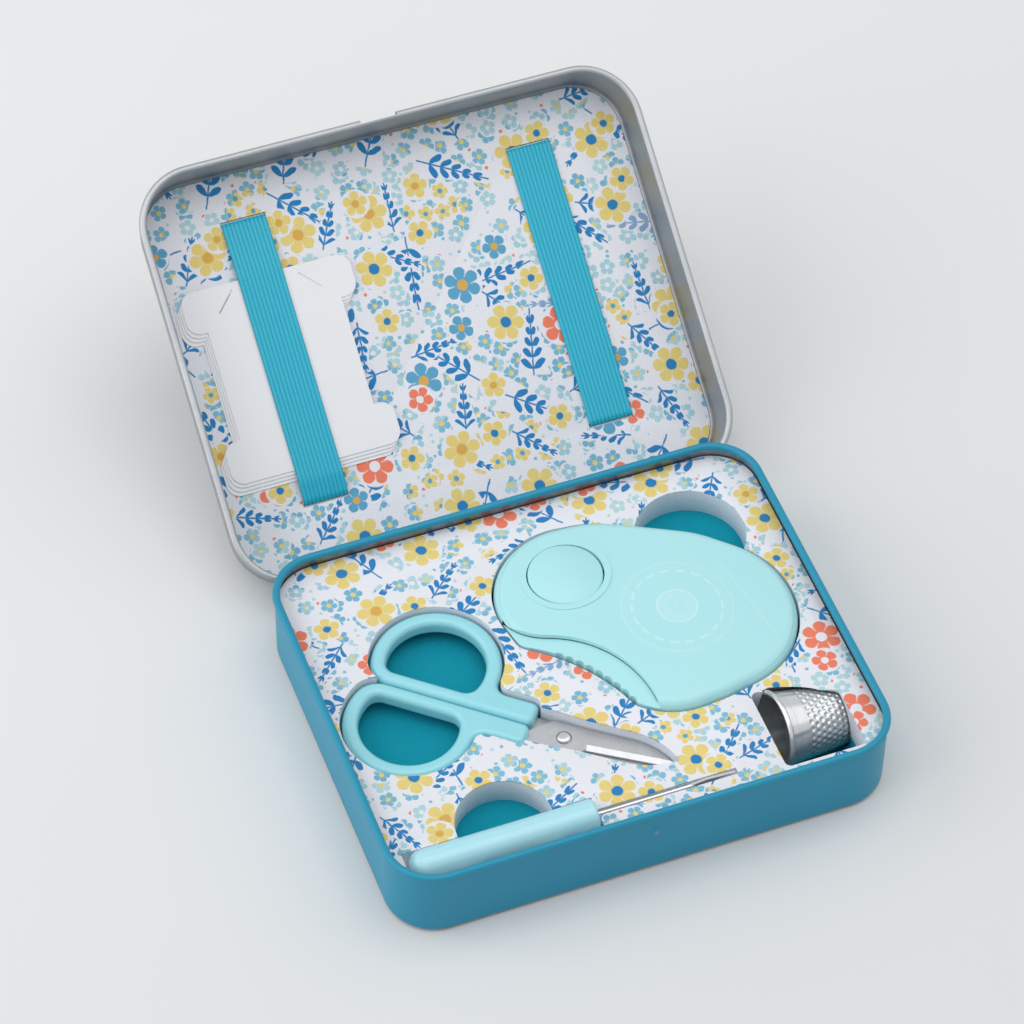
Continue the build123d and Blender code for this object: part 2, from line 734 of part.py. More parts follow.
# What is cut from both shells: all beyond the roof's edge, the slit that the disc swings in, and room
# for the trigger's tip where it swings in past the wall.
with BuildPart() as shell_cuts:
    with BuildSketch(cutter_seat.offset(cutter_bottom - 1)):
        add(grip_outline(1))
        add(roof_outline(trigger_gap / 2), mode=Mode.SUBTRACT)
    extrude(amount=cutter_top - cutter_bottom + 2)
    disc_arm = Location((disc_x - pivot_x, disc_y - pivot_y, 0))
    swung = Location((pivot_x, pivot_y, 0), (0, 0, -trigger_swing)) * disc_arm
    with BuildSketch(cutter_seat.offset(cutter_parting - disc_slot_height / 2)):
        with Locations(disc_at, (swung.position.X, swung.position.Y)):
            Circle(disc_radius + disc_slot_gap)
        make_hull()
    extrude(amount=disc_slot_height)
    tip_arm = Rot(Z=trigger_tip_angle) * Pos(X=trigger_reach + trigger_gap - trigger_tip_room)
    tip_places = [Pos(pivot_x, pivot_y) * Rot(Z=-swing) * tip_arm for swing in (0, trigger_swing)]
    with BuildSketch() as tip_room:
        with Locations([place.position for place in tip_places]):
            Circle(trigger_tip_room)
        make_hull()
    add(crowned(tip_room.sketch, grip_floor, roof_wall))

with BuildPart() as cutter_top_shell:
    add(crowned(grip_outline(), cutter_parting, 0))
    fillet(cutter_top_shell.faces().sort_by(Axis.Z)[-1].edges(), radius=grip_edge_radius)
    collar = circles([button_at], button_hole_radius + button_collar_width)
    add(crowned(collar, cutter_parting, -button_collar_height))
    add(crowned(grip_outline(-grip_wall), cutter_parting, roof_wall), mode=Mode.SUBTRACT)
    add(crowned(circles(screw_places, screw_boss_radius), cutter_parting, roof_wall / 2))
    add(crowned(circles([pivot_at], pivot_boss_radius), lever_top + running_clearance, roof_wall / 2))
    add(upright([button_at], button_hole_radius, cutter_parting, cutter_top + 1), mode=Mode.SUBTRACT)
    add(upright(screw_places, screw_radius, cutter_parting, screw_top), mode=Mode.SUBTRACT)
    add(upright([pivot_at], pivot_pin_radius, lever_top, screw_top), mode=Mode.SUBTRACT)
    add(shell_cuts.part, mode=Mode.SUBTRACT)
finish(cutter_top_shell, "cutter_top_shell")

with BuildPart() as cutter_bottom_shell:
    with BuildSketch(cutter_seat.offset(cutter_bottom)):
        add(grip_outline())
    extrude(amount=cutter_parting - cutter_bottom)
    fillet(cutter_bottom_shell.edges().group_by(Axis.Z)[0], radius=grip_edge_radius)
    with BuildSketch(cutter_seat.offset(grip_floor)):
        add(grip_outline(-grip_wall))
    extrude(amount=cutter_parting - grip_floor, mode=Mode.SUBTRACT)
    add(upright(screw_places, screw_boss_radius, grip_floor - grip_wall / 2, cutter_parting))
    add(upright([pivot_at], pivot_boss_radius, grip_floor - grip_wall / 2, lever_bottom - running_clearance))
    add(upright([button_at], post_radius, grip_floor - grip_wall / 2, post_top))
    add(upright(screw_places, screw_radius, cutter_bottom, cutter_parting), mode=Mode.SUBTRACT)
    add(upright(screw_places, screw_hole_radius, cutter_bottom, screw_head_top), mode=Mode.SUBTRACT)
    add(upright([pivot_at], pivot_pin_radius, grip_floor, lever_bottom), mode=Mode.SUBTRACT)
    add(upright([button_at], stem_radius + running_clearance, grip_floor, post_top), mode=Mode.SUBTRACT)
    add(shell_cuts.part, mode=Mode.SUBTRACT)
finish(cutter_bottom_shell, "cutter_bottom_shell")

# Trigger, lever and blade hub in one piece, rocking on the pivot pin.
with BuildPart() as cutter_trigger:
    with BuildSketch() as shown_part:
        add(grip_outline())
        add(roof_outline(trigger_gap / 2), mode=Mode.SUBTRACT)
        with Locations(finger_hollow):
            ridge_ring = finger_hollow_radius + ridge_depth - ridge_radius
            with PolarLocations(ridge_ring, ridge_count, ridge_from, ridge_sweep):
                Circle(ridge_radius, mode=Mode.SUBTRACT)
    add(crowned(shown_part.sketch, trigger_bottom, roof_wall + trigger_gap))
    with BuildSketch(cutter_seat.offset(trigger_bottom)):
        add(grip_outline(-grip_wall - trigger_gap))
        add(trigger_zone(trigger_tuck), mode=Mode.INTERSECT)
    extrude(amount=trigger_tuck_top - trigger_bottom)
    add(upright([pivot_at], trigger_reach, trigger_bottom, cutter_top), mode=Mode.INTERSECT)
    add(upright([pivot_at], boss_hole_radius, trigger_bottom, cutter_top), mode=Mode.SUBTRACT)
    add(upright([pivot_at], spring_bay_radius, trigger_bottom, lever_bottom), mode=Mode.SUBTRACT)
    with BuildSketch(cutter_seat.offset(lever_bottom)):
        with Locations(pivot_at):
            Circle(pivot_hub_radius)
        with Locations(disc_at):
            Circle(blade_hub_radius)
        make_hull()
    extrude(amount=lever_thickness)
    with BuildSketch(cutter_seat.offset(lever_bottom)):
        with Locations(pivot_at, lever_root):
            Circle(pivot_hub_radius)
        make_hull()
    extrude(amount=lever_thickness)
    add(upright([disc_at], blade_hub_radius, lever_bottom, disc_bottom))
    add(upright([disc_at], disc_hole_radius - running_clearance, lever_bottom, screw_seat))
    add(upright([disc_at], blade_screw_radius, lever_bottom, cutter_top), mode=Mode.SUBTRACT)
    add(upright([pivot_at], pin_hole_radius, trigger_bottom, cutter_top), mode=Mode.SUBTRACT)
finish(cutter_trigger, "cutter_trigger")

with BuildPart() as cutter_pivot_pin:
    add(upright([pivot_at], pivot_pin_radius, grip_floor, screw_top))
finish(cutter_pivot_pin, "cutter_pivot_pin")

with BuildPart() as cutter_blade:
    add(upright([disc_at], disc_radius, disc_bottom, disc_top))
    chamfer(cutter_blade.edges(), length=disc_thickness / 3)
    add(upright([disc_at], disc_hole_radius, disc_bottom, disc_top), mode=Mode.SUBTRACT)
finish(cutter_blade, "cutter_blade")

with BuildPart() as cutter_blade_screw:
    add(upright([disc_at], blade_screw_radius, lever_bottom, screw_seat))
    add(upright([disc_at], blade_hub_radius, screw_seat, screw_seat + blade_screw_head))
    chamfer(cutter_blade_screw.edges().group_by(Axis.Z)[-1], length=blade_screw_head / 3)
finish(cutter_blade_screw, "cutter_blade_screw")

with BuildPart() as cutter_lock_button:
    add(upright([button_at], button_radius, button_bottom, button_top))
    with Locations((cutter_x + button_x, cutter_y + button_y, button_top - button_dome_radius)):
        Sphere(button_dome_radius, mode=Mode.INTERSECT)
    fillet(cutter_lock_button.faces().sort_by(Axis.Z)[-1].edges(), radius=button_edge_radius)
    # lugs that keep it under the shell's roof
    with BuildSketch() as lugs:
        with Locations(button_at):
            Circle(button_lug_reach)
            Rectangle(2 * button_lug_reach, button_lug_width, rotation=button_lug_angle, mode=Mode.INTERSECT)
    lug_top = button_bottom + button_lug_height
    under_roof = crowned(lugs.sketch, button_bottom, roof_wall + button_gap)
    add(under_roof & upright([button_at], button_lug_reach, button_bottom, lug_top))
    add(upright([button_at], stem_radius, stem_bottom, button_bottom + button_gap))
finish(cutter_lock_button, "cutter_lock_button")


def coil(place, radius, turns, bottom, top):
    """Coil spring of flat-sided wire standing between two levels of the cutter."""
    length = top - bottom - spring_wire
    centre = (cutter_x + place[0], cutter_y + place[1], bottom + spring_wire / 2)
    with BuildPart() as spring:
        with BuildLine() as path:
            Helix(length / turns, length, radius, center=centre)
        with BuildSketch(Plane(path.line @ 0, (1, 0, 0), path.line % 0)):
            Rectangle(spring_wire, spring_wire)
        sweep(is_frenet=True)
    return spring


cutter_button_spring = coil(button_at, button_spring_radius, button_spring_turns, grip_floor, button_bottom)
finish(cutter_button_spring, "cutter_button_spring")
cutter_return_spring = coil(pivot_at, return_spring_radius, return_spring_turns, grip_floor, lever_bottom)
finish(cutter_return_spring, "cutter_return_spring")

with BuildPart() as cutter_screws:
    add(upright(screw_places, screw_head_radius, cutter_bottom, screw_head_top))
    add(upright(screw_places, screw_radius, screw_head_top, screw_top))
finish(cutter_screws, "cutter_screws")

# ================================================================ seam ripper
with BuildPart() as ripper_handle:
    with BuildSketch(Plane.YZ.offset(ripper_left_x)):
        with Locations((ripper_y, ripper_z)):
            Circle(ripper_handle_radius)
    extrude(amount=ripper_handle_length)
    fillet(ripper_handle.edges().group_by(Axis.X)[0], radius=ripper_end_round)
    fillet(ripper_handle.edges().group_by(Axis.X)[-1], radius=ripper_neck_round)
    with BuildSketch(Plane.YZ.offset(shaft_start_x - shaft_seat)):
        with Locations((ripper_y, ripper_z)):
            Circle(shaft_radius)
    extrude(amount=shaft_seat, mode=Mode.SUBTRACT)
finish(ripper_handle, "ripper_handle")

# Steel shaft flattened at its end into a fork: a long point above, a short blunt prong below.
fork_start_x = ripper_tip_x - fork_length
with BuildPart() as ripper_shaft:
    with BuildSketch(Plane.YZ.offset(shaft_start_x - shaft_seat)):
        with Locations((ripper_y, ripper_z)):
            Circle(shaft_radius)
    extrude(amount=fork_start_x + shaft_radius - shaft_start_x + shaft_seat)
    with BuildSketch(Plane.XZ.offset(-ripper_y - fork_thickness / 2)):
        with BuildLine():
            Polyline((fork_start_x, ripper_z - shaft_radius), (fork_start_x, ripper_z + shaft_radius),
                     (fork_start_x + fork_length / 3, ripper_z + fork_width / 2),
                     (ripper_tip_x, ripper_z + fork_width / 4),
                     (ripper_tip_x - fork_length / 2, ripper_z),
                     (ripper_tip_x - fork_length / 3, ripper_z - fork_width / 2),
                     (fork_start_x + fork_length / 3, ripper_z - fork_width / 2), close=True)
        make_face()
    extrude(amount=fork_thickness)
finish(ripper_shaft, "ripper_shaft")

# ================================================================ thimble
# Drawn cup with a rolled rim and a domed end, lying on its side.
cup_radius = thimble_rim_radius - thimble_rim_bead
cup_axis = Axis(thimble_plane.origin, thimble_plane.x_dir)
with BuildPart() as thimble:
    side_end = (thimble_length - thimble_dome, thimble_tip_radius)
    with BuildSketch(thimble_plane) as cup_section:
        with BuildLine():
            Polyline((thimble_length, 0), (0, 0), (0, cup_radius), side_end)
            TangentArc((thimble_length, 0), side_end, tangent=(0, 1))
        make_face()
        fillet(cup_section.vertices().sort_by_distance(side_end)[0], radius=thimble_dome / 2)
    revolve(axis=cup_axis)
    offset(amount=-thimble_wall, openings=thimble.faces().sort_by(cup_axis)[0])
    with BuildSketch(thimble_plane):
        with Locations((0, cup_radius)):
            Circle(thimble_rim_bead)
    revolve(axis=cup_axis)
finish(thimble, "thimble")
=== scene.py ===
"""Looks of a hinged sewing tin: finishes, printed lining, foam nest, elastic, light and camera."""

import json
import logging
import math
from dataclasses import dataclass
from enum import Enum
from typing import Any, Sequence

import bmesh
import bpy
import numpy as np
from mathutils import Euler, Matrix, Vector

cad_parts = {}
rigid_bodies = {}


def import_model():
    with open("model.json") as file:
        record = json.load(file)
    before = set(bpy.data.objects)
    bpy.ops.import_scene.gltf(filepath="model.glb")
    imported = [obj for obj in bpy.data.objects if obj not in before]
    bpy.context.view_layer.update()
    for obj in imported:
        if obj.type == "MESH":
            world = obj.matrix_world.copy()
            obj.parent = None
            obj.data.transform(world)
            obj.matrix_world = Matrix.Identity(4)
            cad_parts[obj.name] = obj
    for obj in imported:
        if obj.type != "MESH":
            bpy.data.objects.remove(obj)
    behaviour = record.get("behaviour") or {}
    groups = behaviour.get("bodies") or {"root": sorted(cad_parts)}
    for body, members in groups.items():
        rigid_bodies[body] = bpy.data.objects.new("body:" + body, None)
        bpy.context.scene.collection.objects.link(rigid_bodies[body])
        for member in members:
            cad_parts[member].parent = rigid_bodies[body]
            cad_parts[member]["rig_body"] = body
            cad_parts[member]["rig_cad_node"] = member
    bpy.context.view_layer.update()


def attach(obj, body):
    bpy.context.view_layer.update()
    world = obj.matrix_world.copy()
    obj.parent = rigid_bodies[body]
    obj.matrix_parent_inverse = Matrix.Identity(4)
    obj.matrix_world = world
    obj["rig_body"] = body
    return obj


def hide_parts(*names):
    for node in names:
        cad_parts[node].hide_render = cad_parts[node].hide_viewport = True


LOG = logging.getLogger("sewing_tin")
MM = 0.001
FULL_TURN = 6.2832


def srgb(red: int, green: int, blue: int) -> tuple[float, float, float, float]:
    """Turn an sRGB colour of 0 to 255 into the linear colour that a socket takes."""
    parts = []
    for part in (red, green, blue):
        share = part / 255
        parts.append(share / 12.92 if share <= 0.04045 else ((share + 0.055) / 1.055) ** 2.4)
    return (parts[0], parts[1], parts[2], 1.0)


# ------------------------------------------------------------------ shader maths
class Val:
    """One shader output, wrapped so that maths on it reads as an expression."""

    def __init__(self, tree: bpy.types.NodeTree, socket: bpy.types.NodeSocket) -> None:
        """Keep the tree and the socket that this value comes from."""
        self.tree = tree
        self.socket = socket

    def math(self, operation: str, *items: Any, clamp: bool = False) -> "Val":
        """Add a Math node.

        Args:
            operation: The Math node's operation.
            items: Its inputs in order, as values or numbers.
            clamp: Whether the result is held between 0 and 1.

        Returns:
            The node's result.
        """
        node = self.tree.nodes.new("ShaderNodeMath")
        node.operation = operation
        node.use_clamp = clamp
        for slot, item in zip(node.inputs, items):
            if isinstance(item, Val):
                self.tree.links.new(item.socket, slot)
            else:
                slot.default_value = item
        return Val(self.tree, node.outputs[0])

    def __add__(self, other: Any) -> "Val":
        """Sum."""
        return self.math("ADD", self, other)

    __radd__ = __add__

    def __mul__(self, other: Any) -> "Val":
        """Product."""
        return self.math("MULTIPLY", self, other)

    __rmul__ = __mul__

    def __sub__(self, other: Any) -> "Val":
        """Difference."""
        return self.math("SUBTRACT", self, other)

    def __rsub__(self, other: Any) -> "Val":
        """Difference, reflected."""
        return self.math("SUBTRACT", other, self)

    def __truediv__(self, other: Any) -> "Val":
        """Quotient."""
        return self.math("DIVIDE", self, other)

    def __abs__(self) -> "Val":
        """Size without sign."""
        return self.math("ABSOLUTE", self)

    def __pow__(self, other: Any) -> "Val":
        """Power."""
        return self.math("POWER", self, other)

    def sin(self) -> "Val":
        """Sine."""
        return self.math("SINE", self)

    def root(self) -> "Val":
        """Square root."""
        return self.math("SQRT", self)

    def over(self, edge: "float | Val", soft: float) -> "Val":
        """Mask that rises from 0 to 1 across an edge, over a soft width."""
        return self.math("MULTIPLY_ADD", self - edge, 1 / soft, 0.5, clamp=True)

    def under(self, edge: "float | Val", soft: float) -> "Val":
        """Mask that falls from 1 to 0 across an edge, over a soft width."""
        return self.math("MULTIPLY_ADD", self - edge, -1 / soft, 0.5, clamp=True)

    def wrap(self, period: float) -> "Val":
        """Place within a repeated period, measured from its middle."""
        return self.math("WRAP", self, period / 2, -period / 2)


def far_of(across: Val, up: Val) -> Val:
    """Distance of a point from a place, from its two parts."""
    return (across * across + up * up).root()


class Paint:
    """A material under construction: one Principled shader and what feeds it."""

    def __init__(self, name: str) -> None:
        """Start a material that has only its shader and its output."""
        self.material = bpy.data.materials.new(name)
        self.material.use_nodes = True
        self.tree = self.material.node_tree
        self.tree.nodes.clear()
        self.shader = self.tree.nodes.new("ShaderNodeBsdfPrincipled")
        out = self.tree.nodes.new("ShaderNodeOutputMaterial")
        self.tree.links.new(self.shader.outputs["BSDF"], out.inputs["Surface"])

    def node(self, kind: str, settings: dict[str, Any] | None = None, **sockets: Any) -> bpy.types.Node:
        """Add a node.

        Args:
            kind: The node's type, without its ShaderNode prefix.
            settings: Properties that are set before the sockets.
            sockets: Values or links by socket name, with spaces written as underscores.

        Returns:
            The node.
        """
        node = self.tree.nodes.new("ShaderNode" + kind)
        for key, value in (settings or {}).items():
            setattr(node, key, value)
        for key, value in sockets.items():
            found = [s for s in node.inputs if s.name.replace(" ", "_") == key and s.enabled]
            self.feed(found[0], value)
        return node

    def feed(self, socket: bpy.types.NodeSocket, value: Any) -> None:
        """Link a value to a socket, or set it there."""
        if isinstance(value, Val):
            self.tree.links.new(value.socket, socket)
        else:
            socket.default_value = value

    def val(self, node: bpy.types.Node, output: str | int = 0) -> Val:
        """Wrap one output of a node."""
        return Val(self.tree, node.outputs[output])

    def put(self, **sockets: Any) -> None:
        """Feed sockets of the Principled shader, named with underscores for spaces."""
        for key, value in sockets.items():
            self.feed(self.shader.inputs[key.replace("_", " ")], value)

    def place(self, turn: Euler | None = None, shift: Vector | None = None) -> tuple[Val, Val, Val, Val]:
        """Object coordinates in millimetres.

        Args:
            turn: Turn into a tilted piece's own axes.
            shift: Shift after the turn, in metres.

        Returns:
            The vector and its three parts.
        """
        where = self.val(self.node("TexCoord"), "Object")
        mapped = self.node("Mapping", {"vector_type": "POINT"}, Vector=where, Scale=(1000, 1000, 1000))
        if turn is not None:
            mapped.inputs["Rotation"].default_value = turn
        if shift is not None:
            mapped.inputs["Location"].default_value = shift * 1000
        vector = self.val(mapped)
        parts = self.node("SeparateXYZ", Vector=vector)
        return vector, self.val(parts, 0), self.val(parts, 1), self.val(parts, 2)

    def joined(self, x: Any, y: Any, z: Any = 0.0) -> Val:
        """Vector of three parts."""
        return self.val(self.node("CombineXYZ", X=x, Y=y, Z=z))

    def noise(self, vector: Val, scale: float, detail: float = 2.0, rough: float = 0.5) -> Val:
        """Noise from 0 to 1, its scale per millimetre."""
        return self.val(self.node("TexNoise", Vector=vector, Scale=scale, Detail=detail, Roughness=rough), 0)

    def mix(self, share: Any, first: Any, second: Any) -> Val:
        """Colour that goes from the first to the second by a share."""
        node = self.node("Mix", {"data_type": "RGBA"})
        colours = [s for s in node.inputs if s.type == "RGBA"]
        self.feed(node.inputs[0], share)
        self.feed(colours[0], first)
        self.feed(colours[1], second)
        return Val(self.tree, [s for s in node.outputs if s.type == "RGBA"][0])

    def steps(self, share: Val, colours: Sequence[tuple[float, Any]]) -> Val:
        """Colour picked in even steps by a share, as (from where, colour) pairs."""
        node = self.node("ValToRGB", Fac=share)
        ramp = node.color_ramp
        ramp.interpolation = "CONSTANT"
        while len(ramp.elements) < len(colours):
            ramp.elements.new(0.5)
        for stop, (where, colour) in zip(ramp.elements, colours):
            stop.position = where
            stop.color = colour
        return self.val(node)

    def bump(self, height: Val, distance: float, strength: float = 1.0) -> None:
        """Raise the surface by a height, its distance in millimetres."""
        made = self.node("Bump", Height=height, Distance=distance * MM, Strength=strength)
        self.put(Normal=self.val(made))


# ------------------------------------------------------------------ the lid's tilt
@dataclass(frozen=True)
class LidTilt:
    """Turn that takes a point of the open lid back to where it lies on the shut tin."""

    hinge_y: float = 0.04995
    hinge_z: float = 0.0093
    angle: float = math.radians(146.8)

    def turn(self) -> Euler:
        """Turn from open to shut."""
        return Euler((self.angle, 0, 0))

    def shift(self) -> Vector:
        """Shift after the turn, in metres."""
        hinge = Vector((0, self.hinge_y, self.hinge_z))
        return hinge - self.turn().to_matrix() @ hinge

    def opened(self) -> Matrix:
        """Matrix that takes a point of the shut lid to its place on the open one."""
        hinge = Matrix.Translation((0, self.hinge_y, self.hinge_z))
        return hinge @ Matrix.Rotation(-self.angle, 4, "X") @ hinge.inverted()


LID = LidTilt()


# ------------------------------------------------------------------ finishes
@dataclass(frozen=True)
class PaintedTin:
    """Satin lacquer on tinplate outside, bare tinplate inside, worn on the catch."""

    lacquer: tuple = srgb(8, 134, 166)
    bare: tuple = srgb(150, 156, 160)
    half_x: float = 59.35
    half_y: float = 47.6
    corner: float = 11.3
    rim_level: float = 19.4
    catch_y: float = -48.3
    catch_z: float = 14.1

    def make(self) -> bpy.types.Material:
        """Build the material."""
        paint = Paint("painted_tin")
        spot, x, y, z = paint.place()
        past_x = abs(x) - (self.half_x - self.corner)
        past_y = abs(y) - (self.half_y - self.corner)
        in_x = past_x.math("MAXIMUM", past_x, 0)
        in_y = past_y.math("MAXIMUM", past_y, 0)
        edge = far_of(in_x, in_y)
        inside = edge.under(self.corner, 0.12) * z.under(self.rim_level, 0.3) * z.over(0.15, 0.1)
        mottle = paint.noise(spot, 0.9, 4)
        away = far_of(x, z - self.catch_z)
        worn = away.under(1.0 + mottle * 0.5, 0.35) * y.under(self.catch_y, 0.1)
        bare = inside.math("MAXIMUM", inside, worn * 0.9)
        tone = paint.mix(paint.noise(spot, 0.03, 3), self.lacquer, srgb(14, 144, 176))
        # Pale specks, partly dust and partly a painted sheen in the tone of the lit lacquer.
        dust_and_sheen = paint.noise(spot, 2.2, 6, 0.7).over(0.74, 0.05) * 0.22
        tone = paint.mix(dust_and_sheen, tone, srgb(140, 190, 205))
        paint.put(
            Base_Color=paint.mix(bare, tone, self.bare),
            Metallic=bare * 0.9,
            Roughness=0.42 + mottle * 0.1 - bare * 0.1,
            Specular_IOR_Level=0.4,
            Coat_Weight=0.14 - bare * 0.1,
            Coat_Roughness=0.16,
        )
        paint.bump(paint.noise(spot, 0.35, 3) + paint.noise(spot, 5.0, 2) * 0.06, 0.05, 0.6)
        return paint.material


@dataclass(frozen=True)
class BareTin:
    """Bare rolled tinplate with fine smears, soft dents and hairline scratches."""

    name: str = "bare_tinplate"
    tone: tuple = srgb(182, 184, 186)
    rough: float = 0.36
    stretch: tuple[float, float, float] = (0.05, 1.0, 1.0)

    def make(self) -> bpy.types.Material:
        """Build the material."""
        paint = Paint(self.name)
        spot, x, y, z = paint.place(LID.turn(), LID.shift())
        drawn = paint.joined(x * self.stretch[0], y * self.stretch[1], z * self.stretch[2])
        grain = paint.noise(drawn, 3.2, 5, 0.6)
        smear = paint.noise(spot, 0.07, 4, 0.6)
        slanted = paint.joined(x * 0.09, y + x * 0.4, z)
        hair = abs(paint.noise(slanted, 1.6, 2) - 0.5).under(0.004, 0.006) * 0.4
        paint.put(
            Base_Color=paint.mix(smear * 0.5 + grain * 0.3, self.tone, srgb(140, 144, 148)),
            Metallic=0.92,
            Roughness=self.rough + grain * 0.12 + smear * 0.1 - hair * 0.2,
        )
        paint.bump(grain * 0.4 + smear * 1.5 - hair, 0.03, 0.5)
        return paint.material


@dataclass(frozen=True)
class Steel:
    """Ground or drawn steel, its grain running across the given direction."""

    name: str
    tone: tuple
    rough: float
    grain_turn: float = 0.0
    grain_scale: float = 5.0
    metal: float = 0.95

    def make(self) -> bpy.types.Material:
        """Build the material."""
        paint = Paint(self.name)
        _, x, y, z = paint.place(Euler((0, 0, self.grain_turn)))
        drawn = paint.joined(x, y * 0.06, z * 0.3)
        grain = paint.noise(drawn, self.grain_scale, 5, 0.6)
        cloud = paint.noise(paint.joined(x, y, z), 0.25, 3)
        paint.put(
            Base_Color=paint.mix(grain * 0.5 + cloud * 0.2, self.tone, srgb(120, 124, 128)),
            Metallic=self.metal,
            Roughness=self.rough + grain * 0.12,
        )
        paint.bump(grain, 0.012, 0.5)
        return paint.material


class Motif:
    """Small scattered figures of a dressmaker's print, drawn on a plane in millimetres."""

    def __init__(self, paint: Paint, u: Val, v: Val) -> None:
        """Keep the paint and the plane's two coordinates."""
        self.paint = paint
        self.u = u
        self.v = v

    def scatter(self, spacing: float, loose: float, shift: float) -> tuple[Val, Val, Val, Val, Val]:
        """Scatter places over the plane.

        Args:
            spacing: Mean distance between places.
            loose: How far they stray from a grid, from 0 to 1.
            shift: Offset that gives another layout.

        Returns:
            Distances across and up from the nearest place, and three random shares of it.
        """
        here = self.paint.joined(self.u + shift, self.v - shift * 0.7)
        cells = self.paint.node(
            "TexVoronoi", {"voronoi_dimensions": "2D"}, Vector=here, Scale=1 / spacing, Randomness=loose
        )
        away = self.paint.node("VectorMath", {"operation": "SUBTRACT"})
        self.paint.feed(away.inputs[0], here)
        self.paint.feed(away.inputs[1], self.paint.val(cells, "Position"))
        parts = self.paint.node("SeparateXYZ", Vector=self.paint.val(away))
        draws = self.paint.node("SeparateColor", Color=self.paint.val(cells, "Color"))
        return (
            self.paint.val(parts, 0),
            self.paint.val(parts, 1),
            self.paint.val(draws, 0),
            self.paint.val(draws, 1),
            self.paint.val(draws, 2),
        )

    def blossom(
        self, across: Val, up: Val, radius: float, petals: int, spin: Val
    ) -> tuple[Val, Val, Val]:
        """Draw a round-petalled blossom about a place.

        Args:
            across: Distance across from the place.
            up: Distance up from the place.
            radius: Reach of the petals.
            petals: Number of petals.
            spin: Share of a full turn that the blossom lies at.

        Returns:
            Masks of its petals, of the gaps between them and of its eye.
        """
        far = far_of(across, up)
        round_it = up.math("ARCTAN2", up, across)
        wave = abs((round_it * (petals / 2) + spin * 6.28).sin())
        reach = (wave**0.45) * (0.5 * radius) + 0.52 * radius
        body = far.under(reach, 0.24)
        vein = wave.under(0.2, 0.2) * far.over(radius * 0.42, 0.25) * body
        return body, vein, far.under(radius * 0.3, 0.2)

    def sprig(
        self, across: Val, up: Val, turn: Val, long: float, leaf: float, pitch: float
    ) -> tuple[Val, Val]:
        """Draw a leafy sprig about a place.

        Args:
            across: Distance across from the place.
            up: Distance up from the place.
            turn: Share of a full turn that the sprig lies at.
            long: Length of the sprig.
            leaf: Reach of a leaf from the stem.
            pitch: Distance between leaves.

        Returns:
            Masks of the sprig and of the clear ground round it.
        """
        angle = turn * FULL_TURN
        cos = angle.math("COSINE", angle)
        sin = angle.sin()
        raw_u = across * cos + up * sin
        v = up * cos - across * sin
        u = raw_u + v * v * 0.06
        side = abs(v)
        from_foot = u / long + 0.55
        taper = from_foot.math("MAXIMUM", 1.08 - from_foot, 0.25) * leaf
        lean = u - side * 0.9
        leafy = abs(lean.wrap(pitch))
        out = side / taper
        width = (out.math("MINIMUM", out, 1.0) * math.pi).sin() ** 0.7 * (pitch * 0.36)
        leaves = leafy.under(width, 0.2) * side.under(taper, 0.15) * abs(lean).under(long * 0.46, 0.2)
        stem = side.under(0.2, 0.2) * abs(u).under(long * 0.55, 0.3)
        clear = side.under(taper * 0.9 + 0.5, 0.3) * abs(u).under(long * 0.56, 0.3)
        return leaves.math("MAXIMUM", leaves, stem), clear


